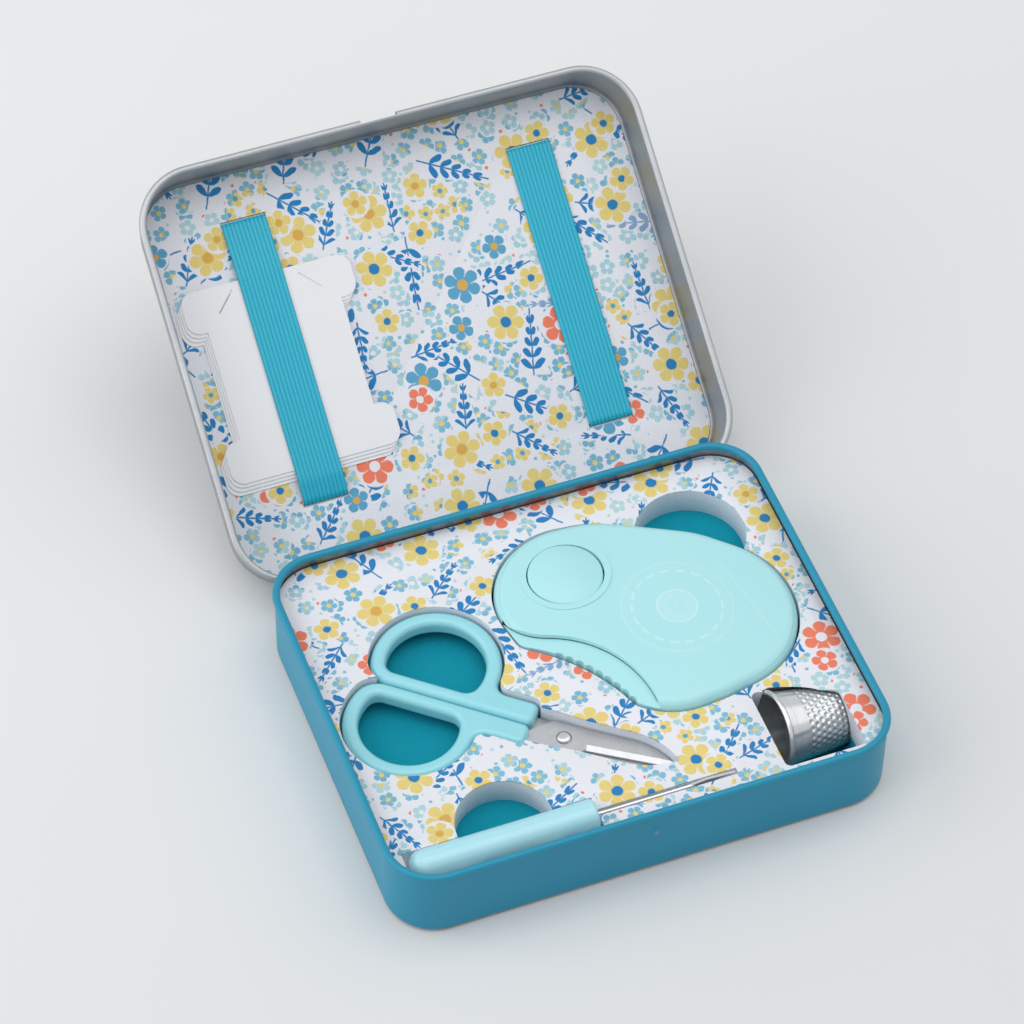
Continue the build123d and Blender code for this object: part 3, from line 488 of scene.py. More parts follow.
@dataclass(frozen=True)
class PrintedCloth:
    """White twill printed with small scattered blossoms, sprigs and dots."""

    name: str
    on_lid: bool
    ground: tuple = srgb(242, 242, 247)
    deep: tuple = srgb(18, 130, 194)
    blue: tuple = srgb(92, 168, 204)
    sky: tuple = srgb(132, 194, 218)
    mint: tuple = srgb(190, 224, 228)
    yellow: tuple = srgb(240, 216, 124)
    coral: tuple = srgb(248, 130, 92)
    ochre: tuple = srgb(228, 176, 70)
    nest_slip: float = 37.0
    warp_pitch: float = 0.52
    weft_pitch: float = 0.46

    def make(self) -> bpy.types.Material:
        """Build the material."""
        paint = Paint(self.name)
        spot, x, y, _ = paint.place(LID.turn(), LID.shift()) if self.on_lid else paint.place()
        slip = 0.0 if self.on_lid else self.nest_slip
        wobble = (paint.noise(spot, 0.6, 2) - 0.5) * 0.5
        motif = Motif(paint, x + wobble + slip, y + wobble)
        patch = paint.noise(spot, 0.045, 1)
        tone = self._small(paint, motif, patch, self.ground)
        tone = self._leaves(paint, motif, tone)
        tone = self._blooms(paint, motif, tone)
        turned = (x * 0.94 + y * 0.34) * (FULL_TURN / self.warp_pitch)
        crossed = (y * 0.94 - x * 0.34) * (FULL_TURN / self.weft_pitch)
        warp = turned.sin() * 0.5 + 0.5
        weft = (crossed + warp * 1.4).sin() * 0.5 + 0.5
        fuzz = paint.noise(spot, 3.5, 4, 0.7)
        weave = warp * 0.5 + weft * 0.5
        # Painted shade in the hollows of the weave, with a little random fuzz tone.
        shade = paint.mix(0.16 - weave * 0.16 + fuzz * 0.05, tone, srgb(112, 128, 160))
        paint.put(
            Base_Color=shade, Roughness=0.86 - weave * 0.06, Sheen_Weight=0.15, Sheen_Roughness=0.5,
            Specular_IOR_Level=0.25,
        )
        paint.bump(weave + fuzz * 0.5, 0.06, 0.7)
        return paint.material

    def _small(self, paint: Paint, motif: Motif, patch: Val, tone: Any) -> Val:
        """Lay the smallest dots and blossoms over a ground, their colours in patches."""
        across, up, a, _, _ = motif.scatter(2.9, 0.8, 3.3)
        dots = far_of(across, up).under(0.42, 0.2) * a.over(0.5, 0.01)
        tone = paint.mix(dots, tone, paint.steps(a, [(0, self.sky), (0.68, self.mint), (0.86, self.coral)]))
        for shift, spacing, radius in ((11.7, 6.4, 2.15), (0.4, 5.6, 1.95)):
            across, up, a, b, c = motif.scatter(spacing, 0.42, shift)
            body, vein, eye = motif.blossom(across, up, radius, 5, b)
            keep = a.over(0.16, 0.01)
            pick = (patch - 0.5) * 1.5 + 0.35 + c * 0.3
            pale = [(0, self.sky), (0.36, self.mint), (0.56, self.sky), (0.72, self.yellow)]
            rich = [(0, self.blue), (0.36, self.sky), (0.72, self.yellow)]
            eyes = [(0, self.yellow), (0.36, self.ground), (0.5, self.yellow), (0.72, self.blue)]
            hue = paint.mix(b * 0.5, paint.steps(pick, pale), paint.steps(pick, rich))
            halo = far_of(across, up).under(radius + 0.35, 0.2)
            tone = paint.mix(halo * keep, tone, self.ground)
            tone = paint.mix(body * keep, tone, hue)
            tone = paint.mix(vein * keep * 0.45, tone, self.ground)
            tone = paint.mix(eye * keep, tone, paint.steps(pick, eyes))
        return tone

    def _leaves(self, paint: Paint, motif: Motif, tone: Val) -> Val:
        """Lay the deep blue sprigs over a print, each on clear ground."""
        for shift, spacing, long, leaf, pitch in ((5.1, 20.0, 16.5, 4.3, 2.9), (21.3, 17.0, 11.0, 3.3, 2.4)):
            across, up, a, b, _ = motif.scatter(spacing, 0.4, shift)
            keep = a.over(0.2, 0.01)
            sprig, clear = motif.sprig(across, up, b, long, leaf, pitch)
            tone = paint.mix(clear * keep, tone, self.ground)
            tone = paint.mix(sprig * keep, tone, self.deep)
        return tone

    def _blooms(self, paint: Paint, motif: Motif, tone: Val) -> Val:
        """Lay the larger yellow, coral and blue blossoms over a print, each on clear ground."""
        for shift, spacing, radius, petals in ((31.0, 20.0, 4.4, 6), (14.5, 17.0, 3.0, 5)):
            across, up, a, b, _ = motif.scatter(spacing, 0.5, shift)
            body, vein, eye = motif.blossom(across, up, radius, petals, b)
            keep = a.over(0.14, 0.01)
            petal = [(0, self.yellow), (0.44, self.coral), (0.64, self.yellow), (0.86, self.blue)]
            eyes = [(0, self.deep), (0.44, self.ground), (0.64, self.ochre)]
            tone = paint.mix(far_of(across, up).under(radius + 0.55, 0.3) * keep, tone, self.ground)
            tone = paint.mix(body * keep, tone, paint.steps(b, petal))
            tone = paint.mix(vein * keep * 0.5, tone, self.ground)
            tone = paint.mix(eye * keep, tone, paint.steps(b, eyes))
        return tone


@dataclass(frozen=True)
class CutFoam:
    """Closed-cell foam with fine pores on its cut faces, the pores painted darker as shade."""

    name: str
    tone: tuple
    shade: tuple
    pore: float = 2.6

    def make(self) -> bpy.types.Material:
        """Build the material."""
        paint = Paint(self.name)
        spot, _, _, _ = paint.place()
        cells = paint.node("TexVoronoi", Vector=spot, Scale=self.pore, Randomness=1.0)
        # Pores painted darker as shade in their hollows; the same mask dents the bump.
        pore_shade_and_dent = paint.val(cells, "Distance").under(0.3, 0.2)
        cloud = paint.noise(spot, 0.35, 4, 0.6)
        speck = paint.noise(spot, 7.0, 3, 0.7)
        paint.put(
            Base_Color=paint.mix(pore_shade_and_dent * 0.3 + cloud * 0.22 + speck * 0.15, self.tone, self.shade),
            Roughness=0.9,
            Specular_IOR_Level=0.3,
        )
        paint.bump(speck - pore_shade_and_dent * 0.8 + cloud, 0.07, 0.7)
        return paint.material


@dataclass(frozen=True)
class Moulded:
    """Injection-moulded plastic with a very fine texture and soft mottling."""

    name: str
    tone: tuple
    rough: float
    deep: tuple
    grain: float = 4.0
    coat: float = 0.0
    emblem: bool = False
    emblem_x: float = 26.1
    emblem_y: float = 5.1
    outer_ring: float = 12.8
    stitch_ring: float = 10.4
    stitches: int = 18
    button_rim: float = 4.6
    button_well: float = 3.2
    hole_off: float = 0.95
    hole_radius: float = 0.55
    seam_level: float = 17.75

    def make(self) -> bpy.types.Material:
        """Build the material."""
        paint = Paint(self.name)
        spot, x, y, z = paint.place()
        fine = paint.noise(spot, self.grain, 3, 0.6)
        cloud = paint.noise(spot, 0.05, 2)
        tone = paint.mix(cloud * 0.35 + fine * 0.12, self.tone, self.deep)
        if self.emblem:
            tone = self._emblem(paint, x, y, tone)
            # Painted highlight: a lighter line along the crease of the top shell.
            crease_highlight = abs((x - 42.4) + (y - 3.2) * 0.185).under(0.16, 0.25) * abs(y - 3.0).under(12.5, 1.5)
            tone = paint.mix(crease_highlight * 0.45, tone, srgb(206, 242, 245))
            seam = abs(z - self.seam_level).under(0.05, 0.06)
            tone = paint.mix(seam * 0.35, tone, srgb(96, 168, 176))
        paint.put(
            Base_Color=tone, Roughness=self.rough + fine * 0.06, Coat_Weight=self.coat, Coat_Roughness=0.1,
            Subsurface_Weight=0.08, Subsurface_Radius=(0.004, 0.006, 0.006), Subsurface_Scale=0.4,
        )
        paint.bump(fine, 0.02, 0.35)
        return paint.material

    def _emblem(self, paint: Paint, x: Val, y: Val, tone: Val) -> Val:
        """Print a plain ring of stitches round a four-holed sewing button, in a lighter tone."""
        across = x - self.emblem_x
        up = y - self.emblem_y
        far = far_of(across, up)
        round_it = up.math("ARCTAN2", up, across)
        dashes = (round_it * self.stitches).sin().over(-0.35, 0.25)
        outer = abs(far - self.outer_ring).under(0.14, 0.1)
        ring = abs(far - self.stitch_ring).under(0.3, 0.1) * dashes
        ring = ring.math("MAXIMUM", ring, outer * 0.7)
        rim = abs(far - self.button_rim).under(0.26, 0.1)
        well = abs(far - self.button_well).under(0.12, 0.08)
        holes = far_of(abs(across) - self.hole_off, abs(up) - self.hole_off)
        disc = far.under(4.4, 0.1) * (1 - holes.under(self.hole_radius, 0.1)) * 0.35
        print_on = ring.math("MAXIMUM", ring, rim)
        print_on = print_on.math("MAXIMUM", print_on, well * 0.7)
        print_on = print_on.math("MAXIMUM", print_on, disc)
        return paint.mix(print_on * 0.42, tone, srgb(224, 245, 248))


@dataclass(frozen=True)
class RibbedElastic:
    """Woven elastic: glossy ribs along its length, crossed by fine weft, with painted shade in the grooves
    between ribs and a painted highlight on their crests.
    """

    name: str = "elastic"
    tone: tuple = srgb(18, 184, 212)
    groove_shade: tuple = srgb(4, 112, 142)

    def make(self) -> bpy.types.Material:
        """Build the material."""
        paint = Paint(self.name)
        where = paint.val(paint.node("UVMap", {"uv_map": "weave"}))
        parts = paint.node("SeparateXYZ", Vector=where)
        along, across = paint.val(parts, 0), paint.val(parts, 1)
        weft = (along * 9.5 + (across * 3.1).sin() * 0.8).sin() * 0.5 + 0.5
        rib = abs((across * math.pi).sin())
        slub = paint.noise(paint.joined(along * 0.6, across * 2), 1.6, 4, 0.7)
        # Painted shade in the grooves between the ribs, with a little random slub tone.
        tone = paint.mix((1 - rib) * 0.6 + slub * 0.12, self.tone, self.groove_shade)
        # Painted highlight on the rib crests, broken by the weft.
        tone = paint.mix(weft * 0.16 * rib, tone, srgb(70, 205, 222))
        paint.put(
            Base_Color=tone, Roughness=0.5 - rib * 0.08, Sheen_Weight=0.3, Sheen_Roughness=0.35,
            Sheen_Tint=srgb(160, 240, 250),
        )
        paint.bump(weft * 0.5 + rib * 0.5 + slub * 0.3, 0.05, 0.8)
        return paint.material


@dataclass(frozen=True)
class Card:
    """Smooth white card with a faint fibre."""

    tone: tuple = srgb(240, 240, 242)

    def make(self) -> bpy.types.Material:
        """Build the material."""
        paint = Paint("white_card")
        spot, _, _, _ = paint.place(LID.turn(), LID.shift())
        fibre = paint.noise(spot, 2.4, 5, 0.7)
        cloud = paint.noise(spot, 0.08, 3)
        paint.put(
            Base_Color=paint.mix(fibre * 0.16 + cloud * 0.12, self.tone, srgb(214, 216, 222)),
            Roughness=0.6 + fibre * 0.1,
        )
        paint.bump(fibre, 0.02, 0.4)
        return paint.material


# ------------------------------------------------------------------ mesh work
class Bench:
    """Works on one mesh object at a time with Blender's own operators."""

    @staticmethod
    def clear() -> None:
        """Deselect everything and leave edit mode."""
        if bpy.context.object is not None and bpy.context.object.mode != "OBJECT":
            bpy.ops.object.mode_set(mode="OBJECT")
        bpy.ops.object.select_all(action="DESELECT")

    @staticmethod
    def pick(piece: bpy.types.Object) -> None:
        """Make one object the only selected and active one."""
        Bench.clear()
        piece.hide_set(False)
        piece.select_set(True)
        bpy.context.view_layer.objects.active = piece

    @staticmethod
    def copy(node: str, name: str) -> bpy.types.Object:
        """Copy a CAD node as a new piece with its doubled points merged.

        Args:
            node: The CAD node's name.
            name: The new piece's name.

        Returns:
            The new piece, at the origin.
        """
        source = bpy.data.objects[node]
        Bench.pick(source)
        bpy.ops.object.duplicate()
        piece = bpy.context.object
        piece.parent = None
        piece.matrix_world = Matrix.Identity(4)
        piece.name = name
        piece.data.name = name
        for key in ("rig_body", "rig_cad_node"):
            if key in piece:
                del piece[key]
        piece.data.materials.clear()
        Bench.pick(piece)
        bpy.ops.mesh.customdata_custom_splitnormals_clear()
        bpy.ops.object.mode_set(mode="EDIT")
        bpy.ops.mesh.select_all(action="SELECT")
        bpy.ops.mesh.remove_doubles(threshold=0.000002)
        bpy.ops.mesh.dissolve_limited(angle_limit=math.radians(0.4))
        bpy.ops.object.mode_set(mode="OBJECT")
        return piece

    @staticmethod
    def bevel(piece: bpy.types.Object, width: float, segments: int = 2, angle: float = 50) -> None:
        """Round a piece's sharp edges by a width in millimetres."""
        Bench.pick(piece)
        mod = piece.modifiers.new("bevel", "BEVEL")
        mod.width = width * MM
        mod.segments = segments
        mod.limit_method = "ANGLE"
        mod.angle_limit = math.radians(angle)
        mod.miter_outer = "MITER_ARC"
        mod.harden_normals = False
        bpy.ops.object.modifier_apply(modifier=mod.name)

    @staticmethod
    def soften(piece: bpy.types.Object, width: float, above: float, segments: int = 3) -> None:
        """Round the sharp edges of a piece that lie above a level.

        Args:
            piece: The piece.
            width: Width of the rounding, in millimetres.
            above: The level, in millimetres.
            segments: Faces across the rounding.
        """
        Bench.pick(piece)
        shape = bmesh.new()
        shape.from_mesh(piece.data)
        layer = shape.edges.layers.float.new("bevel_weight_edge")
        for edge in shape.edges:
            high = min(edge.verts[0].co.z, edge.verts[1].co.z) > above * MM
            if high and len(edge.link_faces) == 2 and edge.calc_face_angle(0.0) > math.radians(40):
                edge[layer] = 1.0
        shape.to_mesh(piece.data)
        shape.free()
        mod = piece.modifiers.new("soften", "BEVEL")
        mod.width = width * MM
        mod.segments = segments
        mod.limit_method = "WEIGHT"
        mod.use_clamp_overlap = False
        bpy.ops.object.modifier_apply(modifier=mod.name)

    @staticmethod
    def smooth(piece: bpy.types.Object, angle: float = 35) -> None:
        """Shade a piece smooth, apart from edges sharper than an angle."""
        Bench.pick(piece)
        bpy.ops.object.shade_smooth_by_angle(angle=math.radians(angle))

    @staticmethod
    def dress(piece: bpy.types.Object, material: bpy.types.Material) -> None:
        """Give a whole piece one material."""
        piece.data.materials.clear()
        piece.data.materials.append(material)


@dataclass(frozen=True)
class Keep:
    """A CAD node that stays as it is and gets a finish."""

    node: str
    finish: str


class TinShell:
    """Painted base, bare lid, hinge tabs and wire."""

    def __init__(self, finishes: dict[str, bpy.types.Material]) -> None:
        """Keep the finishes."""
        self.finishes = finishes

    def build(self) -> None:
        """Dress the sheet-metal pieces."""
        for keep in (
            Keep("base_tin", "painted"),
            Keep("lid_tin", "bare"),
            Keep("hinge_tabs", "wire"),
            Keep("hinge_wire", "wire"),
        ):
            Bench.dress(bpy.data.objects[keep.node], self.finishes[keep.finish])


@dataclass
class Nest:
    """Foam nest: teal lower foam, white die-cut upper foam and its printed face."""

    finishes: dict[str, bpy.types.Material]
    cloth_width: float = 117.8
    cloth_depth: float = 94.3
    cloth_area: float = 5123.0

    def build(self) -> None:
        """Build the three layers, each in its own solid's place."""
        for node, name, finish, slot, width in (
            ("foam_base", "teal_foam_bed", "teal_foam", "teal_foam", 0.25),
            ("foam_top", "white_foam_nest", "white_foam", "white_foam", 0.06),
        ):
            piece = Bench.copy(node, name)
            Bench.bevel(piece, width)
            Bench.smooth(piece)
            Bench.dress(piece, self.finishes[finish])
            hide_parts(node)
            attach(piece, "base")
            LOG.info("%s", name)
        cloth = Bench.copy("nest_fabric", "printed_nest_face")
        Bench.bevel(cloth, 0.26, 3)
        Bench.smooth(cloth, 60)
        Bench.dress(cloth, self.finishes["print"])
        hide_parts("nest_fabric")
        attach(cloth, "base")
        LOG.info("printed_nest_face")


@dataclass
class Lining:
    """Printed lining of the lid, with its two elastic bands and the cards under one."""

    finishes: dict[str, bpy.types.Material]
    width: float = 120.0
    depth: float = 96.5
    face: float = 21.0
    band_width: float = 10.8
    band_thick: float = 0.7
    band_front: float = -37.3
    band_rear: float = 32.8
    stack_front: float = -23.8
    stack_rear: float = 27.0
    stack: float = 1.2
    left_x: float = -35.9
    right_x: float = 36.2
    ribs: int = 11
    rib_height: float = 0.11
    selvedge: float = 0.1
    end_gap: float = 0.36
    end_rise: float = 0.55
    over_middle: float = 0.16
    web: float = 0.32

    def build(self) -> None:
        """Build the lining, the bands and the cards."""
        liner = Bench.copy("lid_liner", "printed_lid_lining")
        Bench.bevel(liner, 0.22, 3)
        Bench.smooth(liner, 60)
        Bench.dress(liner, self.finishes["lid_print"])
        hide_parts("lid_liner")
        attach(liner, "lid")
        LOG.info("printed_lid_lining")
        self._band("left_elastic", "elastic_left", self.left_x, self.stack)
        self._band("right_elastic", "elastic_right", self.right_x, 0.0)
        for number in range(1, 5):
            Bench.dress(bpy.data.objects[f"thread_card_{number}"], self.finishes["card"])

    def _drop(self, y: float, stack: float) -> float:
        """Height of the band's middle below the shut lid's face, at one place along it."""
        rest = self.face - self.band_thick / 2
        if stack == 0:
            return rest
        rise_rear = min(1.0, max(0.0, (self.band_rear - y) / (self.band_rear - self.stack_rear)))
        rise_front = min(1.0, max(0.0, (y - self.band_front) / (self.stack_front - self.band_front)))
        share = min(rise_rear, rise_front)
        return rest - stack * share

    def _band(self, name: str, node: str, centre_x: float, stack: float) -> None:
        """Build one ribbed band.

        Args:
            name: The piece's name.
            node: The CAD node that it stands for.
            centre_x: Its middle across the lid.
            stack: Thickness of what it holds.
        """
        rows, cols = 96, self.ribs * 6
        Bench.clear()
        bpy.ops.mesh.primitive_grid_add(x_subdivisions=cols, y_subdivisions=rows, size=1)
        band = bpy.context.object
        band.name = name
        band.data.name = name
        co = np.zeros(len(band.data.vertices) * 3, np.float32)
        band.data.vertices.foreach_get("co", co)
        co = co.reshape(-1, 3)
        across, along = co[:, 0] + 0.5, co[:, 1] + 0.5
        tail = 0.012
        opened = LID.opened()
        edge = np.abs(across - 0.5) * 2
        rib = self.rib_height * np.abs(np.sin(np.pi * across * self.ribs)) ** 0.6 - self.rib_height
        rib = rib - self.selvedge * np.clip(edge - 0.94, 0, 1) / 0.06
        low = self.band_front + self.end_gap
        length = self.band_rear - self.band_front - 2 * self.end_gap
        shut = np.zeros_like(co)
        shut[:, 0] = centre_x + (across - 0.5) * self.band_width
        for i, share in enumerate(along):
            inner = (share - tail) / (1 - 2 * tail)
            y = low + min(1.0, max(0.0, inner)) * length
            z = self._drop(y, stack)
            if inner < 0 or inner > 1:
                z += self.end_rise
            shut[i, 1] = y
            shut[i, 2] = z - (self.over_middle + rib[i])
        placed = np.array([opened @ Vector(p * MM) for p in shut], np.float32)
        band.data.vertices.foreach_set("co", placed.ravel())
        self._weave_map(band, across, along)
        Bench.pick(band)
        bpy.ops.object.mode_set(mode="EDIT")
        bpy.ops.mesh.select_all(action="SELECT")
        bpy.ops.mesh.normals_make_consistent(inside=False)
        bpy.ops.object.mode_set(mode="OBJECT")
        thick = band.modifiers.new("thick", "SOLIDIFY")
        thick.thickness = self.web * MM
        thick.offset = 0
        bpy.ops.object.modifier_apply(modifier=thick.name)
        Bench.smooth(band, 60)
        Bench.dress(band, self.finishes["elastic"])
        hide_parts(node)
        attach(band, "lid")
        LOG.info("%s", name)

    def _weave_map(self, band: bpy.types.Object, across: np.ndarray, along: np.ndarray) -> None:
        """Write the map that the weave follows: millimetres along, ribs across."""
        layer = band.data.uv_layers.new(name="weave")
        length = self.band_rear - self.band_front
        for loop in band.data.loops:
            i = loop.vertex_index
            layer.data[loop.index].uv = (along[i] * length, across[i] * self.ribs)


class SewingTools:
    """Scissors, rotary cutter and seam ripper."""

    def __init__(self, finishes: dict[str, bpy.types.Material]) -> None:
        """Keep the finishes."""
        self.finishes = finishes

    def build(self) -> None:
        """Dress the tools' solids."""
        for keep in (
            Keep("scissors_front_handle", "handle"),
            Keep("scissors_rear_handle", "handle"),
            Keep("scissors_front_blade", "blade"),
            Keep("scissors_rear_blade", "blade"),
            Keep("cutter_top_shell", "cutter_print"),
            Keep("cutter_bottom_shell", "cutter"),
            Keep("cutter_trigger", "cutter"),
            Keep("cutter_lock_button", "cutter"),
            Keep("cutter_blade", "blade"),
            Keep("cutter_blade_screw", "rivet"),
            Keep("cutter_pivot_pin", "rivet"),
            Keep("cutter_screws", "rivet"),
            Keep("cutter_button_spring", "wire"),
            Keep("cutter_return_spring", "wire"),
            Keep("ripper_handle", "ripper"),
            Keep("ripper_shaft", "rivet"),
        ):
            Bench.dress(bpy.data.objects[keep.node], self.finishes[keep.finish])
        rivet = Bench.copy("scissors_rivet", "domed_rivet")
        Bench.soften(rivet, 0.5, 14.3)
        Bench.smooth(rivet, 40)
        Bench.dress(rivet, self.finishes["rivet"])
        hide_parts("scissors_rivet")
        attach(rivet, "scissors")
        LOG.info("domed_rivet")


@dataclass
class ThimbleCup:
    """Pressed metal thimble with real dimples, in its solid's place."""

    finishes: dict[str, bpy.types.Material]
    rim: tuple[float, float, float] = (36.3, -28.9, 10.5)
    turn: float = 3.0
    rim_radius: float = 9.5
    tip_radius: float = 6.9
    length: float = 18.0
    wall: float = 0.5
    bead: float = 0.62
    dome: float = 1.6
    around: int = 240
    dimples: int = 30
    dimple_pitch: float = 1.42
    first_dimple: float = 5.9
    dimple_reach: float = 0.58
    dimple_depth: float = 0.28
    tip_pitch: float = 1.15
    tip_reach: float = 0.42
    tip_depth: float = 0.2

    def profile(self) -> list[tuple[float, float]]:
        """Section of the cup as (along, radius) points, from the inside of the tip to its outside."""
        cup = self.rim_radius - self.bead
        side_end = self.length - self.dome
        points: list[tuple[float, float]] = [(self.length - self.wall, 0.0001)]
        for k in range(1, 9):
            turn = math.pi / 2 * k / 8
            radius = (self.tip_radius - self.wall) * math.sin(turn) ** 0.6
            points.append((side_end - self.wall + self.dome * math.cos(turn), radius))
        steps = 20
        for k in range(1, steps + 1):
            share = k / steps
            radius = self.tip_radius - self.wall + (cup - self.tip_radius) * share
            points.append((side_end * (1 - share), radius))
        for k in range(1, 14):
            turn = -math.pi / 2 - (math.pi * 1.5) * k / 14
            points.append((self.bead * math.cos(turn) * 0.98, cup + self.bead * math.sin(turn) * 0.98))
        steps = 84
        for k in range(0, steps + 1):
            along = self.bead + (side_end - self.bead) * k / steps
            points.append((along, cup - (cup - self.tip_radius) * along / side_end))
        for k in range(1, 13):
            turn = math.pi / 2 * k / 12
            radius = self.tip_radius * math.cos(turn) ** 0.6 + 0.0001
            points.append((side_end + self.dome * math.sin(turn), radius))
        return points

    def build(self) -> None:
        """Spin the section about the cup's axis, dimple it and lay it on its side."""
        Bench.clear()
        bpy.ops.mesh.primitive_plane_add(size=1)
        cup = bpy.context.object
        cup.name = "dimpled_thimble"
        cup.data.name = "dimpled_thimble"
        points = self.profile()
        shape = bmesh.new()
        row = [shape.verts.new((along * MM, 0, radius * MM)) for along, radius in points]
        for first, second in zip(row, row[1:]):
            shape.edges.new((first, second))
        shape.to_mesh(cup.data)
        shape.free()
        Bench.pick(cup)
        bpy.ops.object.mode_set(mode="EDIT")
        bpy.ops.mesh.select_all(action="SELECT")
        bpy.ops.mesh.spin(steps=self.around, angle=2 * math.pi, center=(0, 0, 0), axis=(1, 0, 0))
        bpy.ops.mesh.select_all(action="SELECT")
        bpy.ops.mesh.remove_doubles(threshold=0.000001)
        bpy.ops.mesh.normals_make_consistent(inside=False)
        bpy.ops.object.mode_set(mode="OBJECT")
        self._dimple(cup)
        tilt = math.asin((self.rim_radius - self.tip_radius) / self.length)
        turned = Matrix.Rotation(math.radians(self.turn), 4, "Z")
        lay = Matrix.Translation(Vector(self.rim) * MM) @ turned @ Matrix.Rotation(tilt, 4, "Y")
        cup.data.transform(lay)
        Bench.smooth(cup, 50)
        Bench.dress(cup, self.finishes["thimble"])
        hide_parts("thimble")
        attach(cup, "thimble_cup")
        LOG.info("dimpled_thimble")

    def _dimple(self, cup: bpy.types.Object) -> None:
        """Press staggered dimples into the outer wall and the domed end."""
        co = np.zeros(len(cup.data.vertices) * 3, np.float32)
        cup.data.vertices.foreach_get("co", co)
        co = co.reshape(-1, 3) / MM
        along = co[:, 0]
        radius = np.hypot(co[:, 1], co[:, 2])
        turn = np.arctan2(co[:, 2], co[:, 1])
        side_end = self.length - self.dome
        mouth = self.rim_radius - self.bead
        outer = mouth - (mouth - self.tip_radius) * along / side_end
        on_wall = (np.abs(radius - outer) < 0.12) & (along > 5.2) & (along < side_end - 0.2)
        line = np.round((along - self.first_dimple) / self.dimple_pitch)
        phase = (turn / (2 * np.pi) * self.dimples + 0.5 * (line % 2)) % 1.0 - 0.5
        across = phase * 2 * np.pi * radius / self.dimples
        up = along - self.first_dimple - line * self.dimple_pitch
        far = np.hypot(across, up)
        depth = self.dimple_depth * np.clip(1 - (far / self.dimple_reach) ** 2, 0, 1)
        depth = np.where(on_wall & (line >= 0) & (line <= 7), depth, 0)
        scale = np.where(radius > 0.01, (radius - depth) / np.maximum(radius, 0.01), 1)
        co[:, 1] *= scale
        co[:, 2] *= scale
        on_tip = (along > side_end + self.dome * 0.4) & (radius < self.tip_radius)
        grid_z = co[:, 2]
        grid_y = co[:, 1] / self.tip_pitch + 0.5 * (np.round(grid_z) % 2)
        far_tip = np.hypot((grid_y - np.round(grid_y)) * self.tip_pitch, grid_z - np.round(grid_z))
        press = self.tip_depth * np.clip(1 - (far_tip / self.tip_reach) ** 2, 0, 1)
        press = np.where(on_tip & (along > self.length - self.wall - 0.9), press, 0)
        outside = along > self.length - self.wall * 0.5 - 1.1 * (radius / self.tip_radius) ** 2
        co[:, 0] -= np.where(outside, press, 0)
        cup.data.vertices.foreach_set("co", (co * MM).astype(np.float32).ravel())


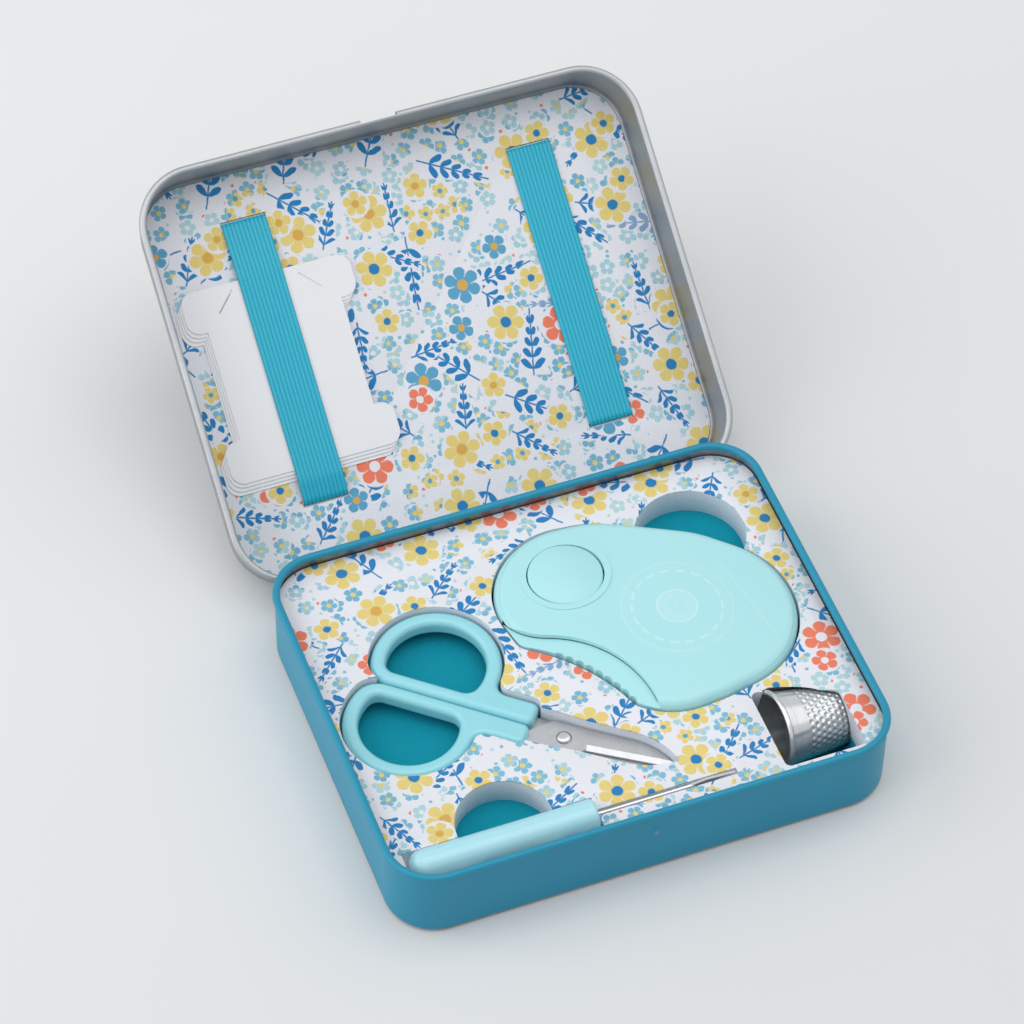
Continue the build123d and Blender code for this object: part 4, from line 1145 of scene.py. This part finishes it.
# ------------------------------------------------------------------ floor, light and camera
@dataclass
class Studio:
    """Pale floor with painted shade towards the front, soft daylight from the left and the camera."""

    place: tuple[float, float, float] = (-0.23344, -0.55240, 0.79205)
    right: tuple[float, float, float] = (0.93588, -0.35211, 0.01165)
    up: tuple[float, float, float] = (0.26404, 0.72292, 0.63849)
    forward: tuple[float, float, float] = (0.23324, 0.59448, -0.76954)
    lens: float = 152.15
    floor_tone: tuple = srgb(235, 236, 236)
    front_shade_tone: tuple = srgb(214, 216, 217)
    room: float = 0.5

    def build(self) -> None:
        """Build the floor, the light and the camera."""
        self._camera()
        self._floor()
        self._light("key_light", (-1.1, 0.2, 0.66), 1.4, 8.8)
        self._light("fill_light", (0.9, 0.0, 1.05), 1.2, 2.8)
        self._light("top_light", (0.0, -0.08, 1.35), 1.1, 6.0)
        world = bpy.data.worlds.new("studio")
        bpy.context.scene.world = world
        world.use_nodes = True
        tree = world.node_tree
        back = tree.nodes["Background"]
        back.inputs["Color"].default_value = srgb(240, 243, 246)
        back.inputs["Strength"].default_value = self.room
        shine = tree.nodes.new("ShaderNodeBackground")
        shine.inputs["Color"].default_value = srgb(244, 246, 248)
        shine.inputs["Strength"].default_value = 1.0
        path = tree.nodes.new("ShaderNodeLightPath")
        both = tree.nodes.new("ShaderNodeMixShader")
        tree.links.new(path.outputs["Is Glossy Ray"], both.inputs[0])
        tree.links.new(back.outputs[0], both.inputs[1])
        tree.links.new(shine.outputs[0], both.inputs[2])
        tree.links.new(both.outputs[0], tree.nodes["World Output"].inputs["Surface"])
        bpy.context.scene.view_settings.view_transform = "Standard"
        LOG.info("studio")

    def _camera(self) -> None:
        """Set the camera."""
        data = bpy.data.cameras.new("camera")
        data.lens = self.lens
        data.sensor_width = 36
        data.clip_start = 0.01
        camera = bpy.data.objects.new("camera", data)
        bpy.context.scene.collection.objects.link(camera)
        axes = Matrix((self.right, self.up, [-part for part in self.forward])).transposed().to_4x4()
        camera.matrix_world = Matrix.Translation(self.place) @ axes
        bpy.context.scene.camera = camera

    def _floor(self) -> None:
        """Lay the floor, painted darker towards the front as shade."""
        Bench.clear()
        bpy.ops.mesh.primitive_plane_add(size=6, location=(0, 0, -0.0001))
        floor = bpy.context.object
        floor.name = "pale_floor"
        paint = Paint("pale_floor")
        spot, _, y, _ = paint.place()
        # Painted shade: the floor's tone darkens towards the front.
        front_shade = y.math("MULTIPLY_ADD", y, -1 / 700, 0.35, clamp=True)
        paint.put(
            Base_Color=paint.mix(front_shade + paint.noise(spot, 0.01, 2) * 0.1, self.floor_tone, self.front_shade_tone),
            Roughness=0.7,
            Specular_IOR_Level=0.2,
        )
        Bench.dress(floor, paint.material)

    def _light(self, name: str, place: Sequence[float], size: float, power: float) -> None:
        """Hang one square soft light that points at the tin."""
        data = bpy.data.lights.new(name, "AREA")
        data.size = size
        data.energy = power
        lamp = bpy.data.objects.new(name, data)
        bpy.context.scene.collection.objects.link(lamp)
        lamp.location = place
        lamp.rotation_euler = (Vector((0, 0.03, 0)) - Vector(place)).to_track_quat("-Z", "Y").to_euler()


class Finish(Enum):
    """Every finish of the tin and what is in it."""

    PAINTED = ("painted", PaintedTin())
    BARE = ("bare", BareTin())
    WIRE = ("wire", Steel("hinge_steel", srgb(168, 170, 172), 0.34))
    BLADE = ("blade", Steel("cutting_steel", srgb(204, 204, 206), 0.3, math.radians(37.4), 7.0))
    RIVET = ("rivet", Steel("bright_steel", srgb(226, 227, 228), 0.18))
    THIMBLE = ("thimble", Steel("thimble_metal", srgb(236, 237, 238), 0.14, 0.0, 2.0, 0.72))
    PRINT = ("print", PrintedCloth("nest_print", False))
    LID_PRINT = ("lid_print", PrintedCloth("lid_print", True))
    TEAL_FOAM = ("teal_foam", CutFoam("teal_foam", srgb(0, 152, 174), srgb(0, 132, 152)))
    WHITE_FOAM = ("white_foam", CutFoam("white_foam", srgb(226, 231, 238), srgb(188, 198, 212)))
    ELASTIC = ("elastic", RibbedElastic())
    CARD = ("card", Card())
    HANDLE = (
        "handle",
        Moulded("scissors_plastic", srgb(152, 220, 230), 0.26, srgb(140, 212, 222), coat=0.25),
    )
    RIPPER = ("ripper", Moulded("ripper_plastic", srgb(176, 228, 238), 0.26, srgb(160, 218, 230), coat=0.35))
    CUTTER = ("cutter", Moulded("cutter_plastic", srgb(178, 232, 236), 0.34, srgb(168, 226, 231)))
    CUTTER_PRINT = (
        "cutter_print",
        Moulded("cutter_plastic_printed", srgb(178, 232, 236), 0.34, srgb(168, 226, 231), emblem=True),
    )


def main() -> None:
    """Build the scene: frame, finishes, pieces, studio."""
    logging.basicConfig(level=logging.INFO, format="%(name)s: %(message)s")
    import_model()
    finishes = {finish.value[0]: finish.value[1].make() for finish in Finish}
    TinShell(finishes).build()
    Nest(finishes).build()
    Lining(finishes).build()
    SewingTools(finishes).build()
    ThimbleCup(finishes).build()
    Studio().build()
    Bench.clear()


if __name__ == "__main__":
    main()
